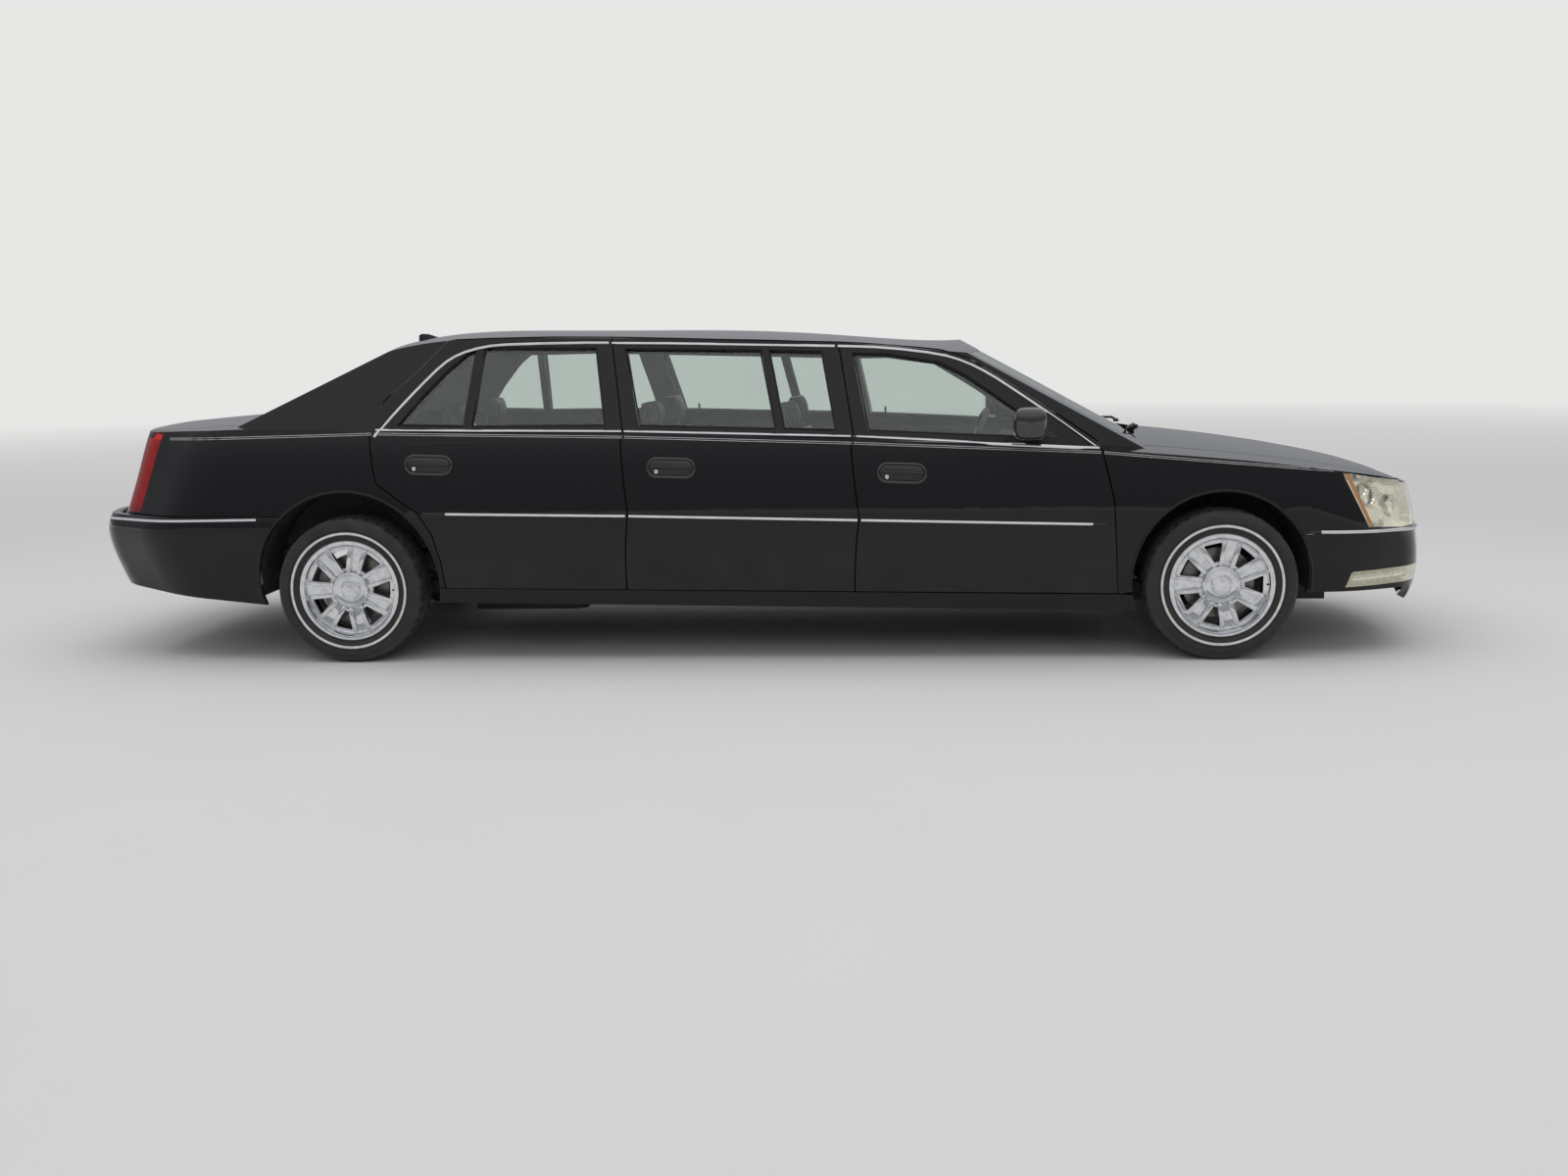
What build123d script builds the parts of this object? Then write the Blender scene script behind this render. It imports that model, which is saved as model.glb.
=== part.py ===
from build123d import *
import math
import os

os.makedirs("parts", exist_ok=True)

# Stretch limousine with six doors. +X is the front, +Y the left side, +Z up.
# The origin lies on the ground under the centre of the bounding box. Millimetres.

# Overall sizes
body_half_width = 944.0
sill_half_width = 884.0
nose_x = 3165.0
tail_x = -3125.0
rear_axle_x = -1860.0
wheelbase = 3985.0
front_axle_x = rear_axle_x + wheelbase
track = 1590.0
wheel_y = track / 2

# Wheels and tyres
tyre_radius = 340.0
tyre_width = 235.0
rim_flange_radius = 233.0
rim_bead_radius = 218.0
rim_drop_radius = 196.0
spoke_count = 7
hub_radius = 84.0
stub_radius = 29.0
kingpin_y = 722.0

# Panels
skin = 26.0
hood_thickness = 28.0
door_inner_y = 800.0
frame_thickness = 46.0
roof_thickness = 44.0
pillar_depth = 104.0
pillar_start = 60.0
shut_gap = 6.0
shut_slant = 25.0
glass_thickness = 5.0

# Heights
rocker_z = 225.0
floor_z = 285.0
floor_thickness = 22.0
floor_top = floor_z + floor_thickness
bumper_top_rear_z = 690.0
bumper_top_front_z = 566.0

# Wheel arches: centre x, centre z, lip radius
rear_arch = (rear_axle_x + 8, 372.0, 425.0)
front_arch = (front_axle_x - 7, 368.0, 392.0)

# Plan outlines of the lower body: height, half width, nose, tail
LOWER = [
    (rocker_z, sill_half_width, nose_x - 47, tail_x + 65),
    (340, body_half_width - 36, nose_x, tail_x + 5),
    (520, body_half_width - 4, nose_x - 5, tail_x),
    (700, body_half_width, nose_x - 45, tail_x + 55),
    (900, body_half_width - 20, nose_x - 105, tail_x + 130),
    (1150, body_half_width - 102, nose_x - 180, tail_x + 240),
]

# Top of the lower body along the length: x, centre height, drop at 900 from the centre
TOP = [
    (-3300, 1075, 45), (-2940, 1092, 45), (-2520, 1122, 45), (-2200, 1130, 45), (-1700, 1128, 60),
    (-560, 1108, 60), (480, 1072, 62), (1560, 1026, 68), (1874, 1000, 70), (2328, 945, 63),
    (2698, 880, 55), (2944, 812, 50), (3065, 755, 46), (3260, 640, 46),
]

# Cabin cross-sections: x, belt height, belt half width, corner height, corner half width, crown height
ROOF = [
    (-1690, 1062, 868, 1432, 640, 1478), (-1390, 1075, 868, 1478, 628, 1517), (-850, 1068, 868, 1480, 628,
        1516),
    (-290, 1052, 868, 1468, 630, 1508), (390, 1030, 868, 1440, 634, 1474), (1000, 995, 866, 1384, 642,
        1440),
]
WINDSCREEN = [(1000, 995, 866, 1384, 642, 1440), (1900, 780, 880, 885, 850, 945)]
BACKLIGHT = [(-1690, 1062, 868, 1432, 640, 1478), (-2420, 960, 866, 1080, 775, 1106)]


def lower_outline(z, w, nose, tail, t):
    w, nose, tail = w - t, nose - t, tail + t
    half = [
        (nose, 230 - t), (nose - 58, 480 - t), (nose - 139, 700 - t), (nose - 445, w - 52), (1700, w),
        (-1800, w), (tail + 430, w - 35), (tail + 65, 690 - t), (tail, 470 - t),
    ]
    radii = [700, 700, 260, 700, 6000, 6000, 520, 230, 400]
    with BuildSketch(Plane.XY.offset(z)) as outline:
        with BuildLine():
            FilletPolyline(*half, *[(x, -y) for x, y in reversed(half)], radius=radii + radii[::-1],
                close=True)
        make_face()
    return outline.sketch


def lower_loft(t):
    with BuildPart() as solid:
        loft(sections=[lower_outline(z, w, nose, tail, t) for z, w, nose, tail in LOWER])
    return solid.part


def top_loft(t):
    faces = []
    for x, crown, drop in TOP:
        with BuildSketch(Plane(origin=(x, 0, 0), x_dir=(0, 1, 0), z_dir=(1, 0, 0))) as section:
            with BuildLine():
                edge = crown - drop * 1.235 - t
                ThreePointArc((-1000, edge), (0, crown - t), (1000, edge))
                Polyline((1000, edge), (1000, 100), (-1000, 100), (-1000, edge))
            make_face()
        faces.append(section.sketch)
    with BuildPart() as solid:
        loft(sections=faces)
    return solid.part


def cabin_section(row, t, top):
    x, belt_z, belt_w, corner_z, corner_w, crown = row
    slope = (belt_w - corner_w) / max(corner_z - belt_z, 20.0)
    foot_w = belt_w + (min(slope, 0.6) if abs(x) < 1800 else 0.2) * 60 - t * 1.1
    with BuildSketch(Plane(origin=(x, 0, 0), x_dir=(0, 1, 0), z_dir=(1, 0, 0))) as section:
        with BuildLine():
            ThreePointArc((-corner_w + t, corner_z - top), (0, crown - top), (corner_w - t, corner_z - top))
            Polyline((corner_w - t, corner_z - top), (foot_w, belt_z - 60), (-foot_w, belt_z - 60),
                     (-corner_w + t, corner_z - top))
        make_face()
    return section.sketch


def cabin(t, top=None):
    top = t if top is None else top
    with BuildPart() as solid:
        loft(sections=[cabin_section(row, t, top) for row in ROOF])
    with BuildPart() as screen:
        loft(sections=[cabin_section(row, t, top) for row in WINDSCREEN], ruled=True)
    with BuildPart() as light:
        loft(sections=[cabin_section(row, t, top) for row in BACKLIGHT], ruled=True)
    return solid.part, screen.part, light.part



def side_prism(points, near, far, grow=0.0, slant=0.0):
    run = (near - far) / math.cos(math.radians(slant))
    way = (math.sin(math.radians(slant)), math.cos(math.radians(slant)), 0)
    with BuildPart() as prism:
        with BuildSketch(Plane.XZ.offset(near)):
            with BuildLine():
                Polyline(*points, close=True)
            make_face()
            if grow:
                offset(amount=grow, kind=Kind.INTERSECTION)
        extrude(amount=run, dir=way)
    return prism.part


def box(x0, x1, y0, y1, z0, z1):
    with BuildPart(Plane(origin=((x0 + x1) / 2, (y0 + y1) / 2, (z0 + z1) / 2))) as block:
        Box(abs(x1 - x0), abs(y1 - y0), abs(z1 - z0))
    return block.part


def both(part):
    with BuildPart() as pair:
        add(part)
        mirror(about=Plane.XZ)
    return pair.part


def save(part, name):
    part.label = name
    export_step(part, f"parts/{name}.step")


# Shut lines seen from the side: x, z and the half width of the surface there
SHUT_C = [(-1404, 1490, 640), (-1524, 1343, 690), (-1670, 1200, 745), (-1712, 1060, 868), (-1705, 900, 925),
          (-1690, 840, 930), (-1600, 770, 938), (-1500, 700, 942), (-1440, 600, 944), (-1408, 480,
              930), (-1392, 300, 900)]
SHUT_B2 = [(-644, 1500, 620), (-554, 1045, 868), (-536, 690, 944), (-557, 300, 900)]
SHUT_B1 = [(407, 1470, 620), (486, 1024, 868), (509, 664, 944), (484, 300, 900)]
ROOF_SHUT = [(1464, 1062), (1349, 1142), (1234, 1219), (1119, 1293), (1000, 1362), (885, 1398), (640, 1426),
             (403, 1441), (71, 1453), (-294, 1468), (-661, 1481), (-938, 1486), (-1217, 1484), (-1500,
                 1478)]
ROCKER = [(-1900, 356), (1664, 305)]
near_y = 1000.0


def slanted(line):
    lean = math.tan(math.radians(shut_slant))
    return [(x - lean * (near_y - w), z) for x, z, w in line]


lower_solid = lower_loft(0)
with BuildPart() as lower_body:
    add(lower_solid)
    add(top_loft(0), mode=Mode.INTERSECT)
with BuildPart() as lower_core:
    add(lower_loft(skin))
    add(top_loft(hood_thickness), mode=Mode.INTERSECT)
cabin_outer = cabin(0)
with BuildPart() as cabin_body:
    for piece in cabin_outer:
        add(piece)
with BuildPart() as cabin_core:
    for piece in cabin(pillar_depth, roof_thickness):
        add(piece)
with BuildPart() as cabin_frame_core:
    add(cabin(frame_thickness)[0])
    add(cabin(frame_thickness)[1])
    add(cabin(frame_thickness)[2])

zone_points = [(1575, 986), *ROOF_SHUT, (-2100, 1478), (-2100, 359), ROCKER[1], (1636, 732)]
door_zone = side_prism(zone_points, near_y, 560, grow=-shut_gap / 2)
body_zone = side_prism(zone_points, near_y, 560, grow=shut_gap / 2)

DOORS = [
    # name, front boundary, rear boundary
    ("front", [(2400, 1500, near_y), (2400, 300, near_y)], SHUT_B1),
    ("middle", SHUT_B1, SHUT_B2),
    ("rear", SHUT_B2, SHUT_C),
]

# Window openings seen from the side, in the order of the doors
WINDOWS = {
    "front": [[(549, 1046), (478, 1392), (640, 1386), (870, 1346), (985, 1290), (1100, 1213), (1400, 1000),
        (1180, 1010)]],
    "middle": [[(-487, 1080), (-572, 1428), (60, 1413), (138, 1058)],
        [(172, 1057), (94, 1411), (340, 1401), (408, 1048)]],
    "rear": [[(-640, 1084), (-704, 1434), (-1232, 1444), (-1256, 1086)],
             [(-1292, 1087), (-1268, 1441), (-1305, 1425), (-1400, 1340), (-1500, 1230), (-1606, 1096)]],
}

with BuildPart() as side_lower:
    add(lower_body.part)
    add(box(-3300, 3300, -1000, -door_inner_y, 0, 1300), mode=Mode.INTERSECT)
with BuildPart() as side_frame:
    add(cabin_outer[0])
    add(cabin_outer[1])
    add(cabin_frame_core.part, mode=Mode.SUBTRACT)

door_parts = {}
glass_parts = {}
with BuildPart() as glass_layer:
    add(cabin(10)[0])
    add(cabin(10)[1])
    add(cabin(10 + glass_thickness)[0], mode=Mode.SUBTRACT)
    add(cabin(10 + glass_thickness)[1], mode=Mode.SUBTRACT)

for name, fore, aft in DOORS:
    outline = slanted(fore) + slanted(aft)[::-1]
    region = side_prism(outline, near_y, 560, grow=-shut_gap / 2, slant=shut_slant)
    with BuildPart() as where:
        add(region)
        add(door_zone, mode=Mode.INTERSECT)
    with BuildPart() as door:
        add(side_lower.part)
        add(where.part, mode=Mode.INTERSECT)
    with BuildPart() as frame:
        add(side_frame.part)
        add(where.part, mode=Mode.INTERSECT)
        for window in WINDOWS[name]:
            add(side_prism(window, near_y, 560), mode=Mode.SUBTRACT)
    with BuildPart() as whole:
        add(door.part)
        add(frame.part)
    with BuildPart() as glass:
        for window in WINDOWS[name]:
            with BuildPart(mode=Mode.PRIVATE) as pane:
                add(glass_layer.part)
                add(side_prism(window, near_y, 560), mode=Mode.INTERSECT)
            add(pane.part)
    door_parts[name] = whole.part
    glass_parts[name] = glass.part

# Rear arch and front arch openings
def arch(x, z, r, y0, y1):
    with BuildPart(Plane(origin=(x, y0, z), x_dir=(1, 0, 0), z_dir=(0, 1, 0))) as hole:
        Cylinder(r, y1 - y0, align=(Align.CENTER, Align.CENTER, Align.MIN))
    return hole.part


def plan_prism(points, z0, z1, grow=0.0):
    with BuildPart() as prism:
        with BuildSketch(Plane.XY.offset(z0)):
            with BuildLine():
                Polyline(*points, close=True)
            make_face()
            if grow:
                offset(amount=grow, kind=Kind.INTERSECTION)
        extrude(amount=z1 - z0)
    return prism.part


arch_rear = arch(*rear_arch, -1000, -600)
arch_front = arch(*front_arch, -1000, -600)

# Panel regions: side views (x, z) and plan views (x, y)
HEADLAMP = [(2637, 838), (2880, 796), (3180, 752), (3180, 588), (2952, 574), (2770, 590)]
FOG_LAMP = [(2676, 318), (2700, 392), (3075, 402), (3100, 326)]
TAIL_LAMP = [(-3300, 702), (-2900, 702), (-2757, 1086), (-3300, 1086)]
HOOD = [(1704, -752), (2860, -708), (2985, -560), (3066, -330), (3090, 0), (3066, 330), (2985, 560),
    (2860, 708), (1704, 752), (1800, 400), (1852, 0), (1800, -400)]
LID = [(-2300, -692), (-2705, -692), (-2860, -610), (-3300, -610), (-3300, 610), (-2860, 610), (-2705, 692),
    (-2300, 692), (-2380, 400), (-2425, 0), (-2380, -400)]
lamp_inner_y = 540.0
tail_inner_y = 613.0
grille_half_width = 528.0
grille_z = (600.0, 738.0)

with BuildPart() as lower_shell:
    add(lower_body.part)
    add(lower_core.part, mode=Mode.SUBTRACT)
with BuildPart() as shell_right:
    add(lower_shell.part)
    add(box(-3300, 3300, -1000, -grille_half_width, 0, 1300), mode=Mode.INTERSECT)

hood_cut = plan_prism(HOOD, 560, 1300, grow=shut_gap / 2)
lid_cut = plan_prism(LID, bumper_top_rear_z, 1300, grow=shut_gap / 2)

# Front fender
with BuildPart() as fender:
    add(shell_right.part)
    add(side_prism([(1578, 1100), (1578, 986), (1639, 732), (1664, 309), (1676, 305),
        (3300, bumper_top_front_z + 3), (3300, 1100)], near_y, 500), mode=Mode.INTERSECT)
    add(side_prism([(1500, 0), (2470, 0), (2470, bumper_top_front_z + 3), (3300, bumper_top_front_z + 3),
        (3300, 1300), (1500, 1300)], near_y, 500), mode=Mode.INTERSECT)
    add(arch_front, mode=Mode.SUBTRACT)
    add(side_prism(HEADLAMP, near_y, lamp_inner_y - 20, grow=1), mode=Mode.SUBTRACT)
    add(hood_cut, mode=Mode.SUBTRACT)
    add(cabin_body.part, mode=Mode.SUBTRACT)
    add(box(2700, 3300, -grille_half_width - 3, 0, 0, 1300), mode=Mode.SUBTRACT)

# Rear quarter
with BuildPart() as quarter:
    add(shell_right.part)
    add(side_prism([(-3300, bumper_top_rear_z + 3), (-2136, bumper_top_rear_z + 3), (-2136, 0), (-1380, 0),
        (-1300, 1300), (-3300, 1300)], near_y, 500), mode=Mode.INTERSECT)
    add(side_prism([(x, z) for x,
        z in slanted([(-3300, 1500, 900), (-3300, 0, 900)])] + slanted(SHUT_C)[::-1], near_y, 500,
        grow=-shut_gap / 2, slant=shut_slant), mode=Mode.INTERSECT)
    add(arch_rear, mode=Mode.SUBTRACT)
    add(side_prism(TAIL_LAMP, near_y, tail_inner_y - 20, grow=1), mode=Mode.SUBTRACT)
    add(lid_cut, mode=Mode.SUBTRACT)
    add(cabin_body.part, mode=Mode.SUBTRACT)
    add(box(-1500, -1300, -1000, -700, 0, 354), mode=Mode.SUBTRACT)

# Hood and trunk lid
with BuildPart() as hood:
    add(lower_shell.part)
    add(plan_prism(HOOD, 560, 1300, grow=-shut_gap / 2), mode=Mode.INTERSECT)
    add(box(2700, 3300, -1000, 1000, 0, 744), mode=Mode.SUBTRACT)
    for side in (1, -1):
        add(box(2600, 3300, side * (lamp_inner_y - 30), side * 1000, 0, 780), mode=Mode.SUBTRACT)
    add(cabin_body.part, mode=Mode.SUBTRACT)

with BuildPart() as trunk_lid:
    add(lower_shell.part)
    add(plan_prism(LID, bumper_top_rear_z + 6, 1300, grow=-shut_gap / 2), mode=Mode.INTERSECT)
    add(cabin_body.part, mode=Mode.SUBTRACT)

# Lamps
lamp_thickness = 42.0
with BuildPart() as lamp_shell:
    add(lower_body.part)
    add(lower_loft(lamp_thickness), mode=Mode.SUBTRACT)
with BuildPart() as headlamp:
    add(lamp_shell.part)
    add(side_prism(HEADLAMP, near_y, lamp_inner_y), mode=Mode.INTERSECT)
    add(hood_cut, mode=Mode.SUBTRACT)
with BuildPart() as fog_lamp:
    add(lamp_shell.part)
    add(side_prism(FOG_LAMP, near_y, 560), mode=Mode.INTERSECT)
with BuildPart() as tail_lamp:
    add(lamp_shell.part)
    add(side_prism(TAIL_LAMP, near_y, tail_inner_y), mode=Mode.INTERSECT)
    add(lid_cut, mode=Mode.SUBTRACT)

# Bumpers
with BuildPart() as front_bumper:
    add(lower_shell.part)
    add(side_prism([(2474, 0), (2474, bumper_top_front_z), (3300, bumper_top_front_z), (3300, 0)], 1000,
        -1000), mode=Mode.INTERSECT)
    for side in (-1, 1):
        with BuildPart(Plane(origin=(front_arch[0], 0, front_arch[1]), x_dir=(1, 0, 0), z_dir=(0, side, 0)),
                mode=Mode.PRIVATE) as hole:
            Cylinder(front_arch[2], 1000, align=(Align.CENTER, Align.CENTER, Align.MIN))
        add(hole.part, mode=Mode.SUBTRACT)
    fog = side_prism(FOG_LAMP, near_y, 560)
    add(fog, mode=Mode.SUBTRACT)
    add(fog.mirror(Plane.XZ), mode=Mode.SUBTRACT)
    add(box(3000, 3300, -430, 430, 290, 400), mode=Mode.SUBTRACT)
    add(box(2400, 3020, -880, 880, 200, 300), mode=Mode.SUBTRACT)

REAR_BUMPER = [(225, 878, nose_x, tail_x + 110), (400, 924, nose_x, tail_x + 10),
    (560, 950, nose_x, tail_x - 44),
               (650, 954, nose_x, tail_x - 42), (692, 946, nose_x, tail_x - 20)]
with BuildPart() as bumper_outer:
    loft(sections=[lower_outline(*row, 0) for row in REAR_BUMPER])
with BuildPart() as bumper_inner:
    loft(sections=[lower_outline(*row, skin) for row in REAR_BUMPER])
with BuildPart() as rear_bumper:
    add(bumper_outer.part)
    add(side_prism([(-2140, 258), (-2140, bumper_top_rear_z), (-3300, bumper_top_rear_z), (-3300, 385),
        (-2990, 348)], 1000, -1000), mode=Mode.INTERSECT)
    add(bumper_inner.part, mode=Mode.SUBTRACT)
    for side in (-1, 1):
        with BuildPart(Plane(origin=(rear_arch[0], 0, rear_arch[1]), x_dir=(1, 0, 0), z_dir=(0, side, 0)),
                mode=Mode.PRIVATE) as hole:
            Cylinder(rear_arch[2], 1000, align=(Align.CENTER, Align.CENTER, Align.MIN))
        add(hole.part, mode=Mode.SUBTRACT)

# Grille
grille_columns = 9
grille_rows = 4
grille_frame = 16.0
grille_bar = 9.0
with BuildPart() as grille:
    add(lower_body.part)
    add(lower_loft(34), mode=Mode.SUBTRACT)
    add(box(2700, 3300, -grille_half_width, grille_half_width, *grille_z), mode=Mode.INTERSECT)
    add(hood_cut, mode=Mode.SUBTRACT)
    pitch_y = (2 * grille_half_width - 2 * grille_frame + grille_bar) / grille_columns
    pitch_z = (grille_z[1] - grille_z[0] - 2 * grille_frame + grille_bar) / grille_rows
    with BuildSketch(Plane.YZ.offset(2700)):
        with Locations((0, (grille_z[0] + grille_z[1]) / 2)):
            with GridLocations(pitch_y, pitch_z, grille_columns, grille_rows):
                Rectangle(pitch_y - grille_bar, pitch_z - grille_bar)
    extrude(amount=600, mode=Mode.SUBTRACT)
save(grille.part, "grille")

# Roof with pillars
INNER_OPENINGS = [
    [(545, 330), (545, 1024), (470, 1362), (640, 1362), (860, 1330), (1090, 1190), (1400, 985), (1440, 900),
        (1500, 330)],
    [(-500, 330), (-490, 1045), (-572, 1400), (340, 1368), (415, 1024), (425, 330)],
    [(-1300, 380), (-1560, 900), (-1600, 1080), (-1400, 1320), (-1290, 1400), (-704, 1404), (-618, 1045),
        (-610, 330)],
]
SCREEN_OPENING = [(1020, -582), (1720, -668), (1800, -560), (1852, -300), (1868, 0), (1852, 300),
    (1800, 560), (1720, 668), (1020, 582), (1075, 300), (1092, 0), (1075, -300)]
LIGHT_OPENING = [(-1700, -556), (-1738, -300), (-1752, 0), (-1738, 300), (-1700, 556), (-2275, 640),
    (-2345, 400), (-2375, 0), (-2345, -400), (-2275, -640)]
with BuildPart() as door_layer:
    add(cabin_outer[0])
    add(cabin_outer[1])
    for piece in cabin(pillar_start)[:2]:
        add(piece, mode=Mode.SUBTRACT)
    add(body_zone, mode=Mode.INTERSECT)
    add(side_prism(slanted([(2400, 1500, near_y), (2400, 300, near_y)]) + slanted(SHUT_C)[::-1], near_y,
        500,
                   grow=shut_gap / 2, slant=shut_slant), mode=Mode.INTERSECT)
with BuildPart() as upper_body:
    add(cabin_body.part)
    add(cabin_core.part, mode=Mode.SUBTRACT)
    add(lower_body.part, mode=Mode.SUBTRACT)
    add(plan_prism(SCREEN_OPENING, 850, 1600), mode=Mode.SUBTRACT)
    add(plan_prism(LIGHT_OPENING, 950, 1600), mode=Mode.SUBTRACT)
    add(door_layer.part, mode=Mode.SUBTRACT)
    add(door_layer.part.mirror(Plane.XZ), mode=Mode.SUBTRACT)
    for opening in INNER_OPENINGS:
        hole = side_prism(opening, near_y, 500)
        add(hole, mode=Mode.SUBTRACT)
        add(hole.mirror(Plane.XZ), mode=Mode.SUBTRACT)
# The roof panel ends at the tops of the pillars
ROOF_FOOT = [(-3000, 1395), (-1290, 1395), (-700, 1398), (340, 1362), (640, 1355), (860, 1325),
    (3000, 1325)]
roof_region = side_prism([*ROOF_FOOT, (3000, 1700), (-3000, 1700)], near_y, -near_y)
with BuildPart() as roof:
    add(upper_body.part)
    add(roof_region, mode=Mode.INTERSECT)
with BuildPart() as pillars:
    add(upper_body.part)
    add(roof_region, mode=Mode.SUBTRACT)

# Windscreen and rear window
with BuildPart() as fixed_glass:
    add(cabin(3)[1])
    add(cabin(3 + glass_thickness)[1], mode=Mode.SUBTRACT)
    add(plan_prism(SCREEN_OPENING, 850, 1600), mode=Mode.INTERSECT)
    add(lower_body.part, mode=Mode.SUBTRACT)
with BuildPart() as rear_glass:
    add(cabin(3)[2])
    add(cabin(3 + glass_thickness)[2], mode=Mode.SUBTRACT)
    add(plan_prism(LIGHT_OPENING, 850, 1600), mode=Mode.INTERSECT)
    add(lower_body.part, mode=Mode.SUBTRACT)

# Road wheels, built about +Z with the outer face up, then stood on the axle
RIM_PROFILE = [
    (rim_flange_radius, 103), (rim_flange_radius, 96), (rim_bead_radius, 96), (rim_bead_radius,
        58), (rim_drop_radius + 3, 44),
    (rim_drop_radius + 3, -22), (rim_bead_radius, -46), (rim_bead_radius, -96), (rim_flange_radius,
        -96), (rim_flange_radius, -103),
    (rim_bead_radius - 4, -103), (rim_bead_radius - 8, -96), (rim_bead_radius - 8,
        -50), (rim_drop_radius - 6, -26),
    (rim_drop_radius - 6, 50), (rim_drop_radius + 4, 64), (rim_bead_radius - 8, 74), (rim_bead_radius - 8,
        97), (rim_bead_radius - 4, 103),
]
DISC_PROFILE = [
    (stub_radius + 1, -34), (58, -34), (58, 30), (90, 56), (150, 68), (rim_drop_radius,
        62), (rim_bead_radius - 5, 76), (rim_bead_radius - 5, 82), (rim_drop_radius, 80),
    (150, 84), (hub_radius + 4, 84), (hub_radius + 4, 76), (hub_radius, 76), (hub_radius,
        92), (hub_radius - 6, 95), (34, 91), (34, 96), (0, 97), (0, 60), (stub_radius + 1, 60),
]
with BuildPart() as wheel:
    with BuildSketch(Plane.XZ):
        with BuildLine():
            Polyline(*RIM_PROFILE, close=True)
        make_face()
    revolve(axis=Axis.Z)
    with BuildSketch(Plane.XZ):
        with BuildLine():
            Polyline(*DISC_PROFILE, close=True)
        make_face()
    revolve(axis=Axis.Z)
    with BuildSketch(Plane.XY.offset(40)):
        with PolarLocations(0, spoke_count):
            Polygon((104, -17), (181, -44), (181, 44), (104, 17), align=None)
    extrude(amount=60, mode=Mode.SUBTRACT)
    with BuildSketch(Plane.XY.offset(79)):
        with PolarLocations(142, spoke_count, start_angle=180 / spoke_count):
            SlotOverall(84, 9)
    extrude(amount=20, mode=Mode.SUBTRACT)
with BuildPart() as rotor:
    with BuildSketch(Plane.XY.offset(-12)):
        Circle(160)
        Circle(57, mode=Mode.SUBTRACT)
    extrude(amount=24)
with BuildPart() as wheel_set:
    add(wheel.part)
    add(rotor.part)
TYRE_PROFILE = [(rim_bead_radius + 0.5, 94.5), (rim_flange_radius + 1, 94.5), (290, tyre_width / 2),
    (tyre_radius, 92)]
with BuildPart() as tyre:
    with BuildSketch(Plane.XZ):
        with BuildLine():
            Polyline(*TYRE_PROFILE, *[(r, -z) for r, z in reversed(TYRE_PROFILE)], close=True)
        make_face()
    revolve(axis=Axis.Z)
CORNERS = [
    # name, axle x, side
    ("fr", front_axle_x, -1), ("fl", front_axle_x, 1), ("rr", rear_axle_x, -1), ("rl", rear_axle_x, 1),
]
for name, x, side in CORNERS:
    stand = Plane(origin=(x, side * wheel_y, tyre_radius), x_dir=(1, 0, 0), z_dir=(0, side, 0))
    save(stand.location * wheel_set.part, f"wheel_{name}")
    save(stand.location * tyre.part, f"tyre_{name}")

# Front knuckles with their stub, built on the right and mirrored
with BuildPart() as knuckle:
    with BuildSketch(Plane.XZ.offset(wheel_y + 55)):
        with Locations((front_axle_x, tyre_radius)):
            Circle(stub_radius)
    extrude(amount=-(wheel_y + 55 - kingpin_y))
    with BuildPart(Plane(origin=(front_axle_x, -kingpin_y, tyre_radius))):
        Box(64, 40, 200)
    with BuildPart(Plane(origin=(front_axle_x - 70, -kingpin_y + 4, tyre_radius - 40))):
        Box(120, 22, 30)
save(knuckle.part, "knuckle_right")
save(knuckle.part.mirror(Plane.XZ), "knuckle_left")

# Front suspension: crossmember, lower arms, struts
with BuildPart() as front_subframe:
    for side in (-1, 1):
        with BuildSketch(Plane.XY.offset(196)):
            with BuildLine():
                Polyline((front_axle_x - 190, side * 395), (front_axle_x + 170, side * 395),
                    (front_axle_x + 34, side * (kingpin_y - 30)),
                         (front_axle_x + 26, side * (kingpin_y + 6)), (front_axle_x - 26,
                             side * (kingpin_y + 6)), (front_axle_x - 34,
                             side * (kingpin_y - 30)), close=True)
            make_face()
        extrude(amount=26)
        with Locations((front_axle_x, side * 360, 236)):
            Box(1180, 80, 90)
    for x in (front_axle_x - 200, front_axle_x + 420):
        with Locations((x, 0, 236)):
            Box(130, 780, 70)
save(front_subframe.part, "front_subframe")

# Rear suspension: beam, knuckles and stubs, arms, springs
with BuildPart() as rear_suspension:
    with Locations((rear_axle_x - 10, 0, 330)):
        Box(150, 1010, 90)
    for side in (-1, 1):
        with Locations((rear_axle_x, side * 590, 300)):
            Box(70, 210, 26)
        with Locations((rear_axle_x, side * 690, tyre_radius - 10)):
            Box(70, 34, 170)
        with BuildSketch(Plane.XZ.offset(-side * 680)):
            with Locations((rear_axle_x, tyre_radius)):
                Circle(stub_radius)
        extrude(amount=-side * (wheel_y + 55 - 680))
        with Locations((rear_axle_x + 20, side * 560, 400)):
            Cylinder(48, 190)
        with Locations((rear_axle_x + 215, side * 500, 300)):
            Box(490, 60, 60)
        with Locations((rear_axle_x + 440, side * 500, 345)):
            Box(40, 50, 60)
save(rear_suspension.part, "rear_suspension")

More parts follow.
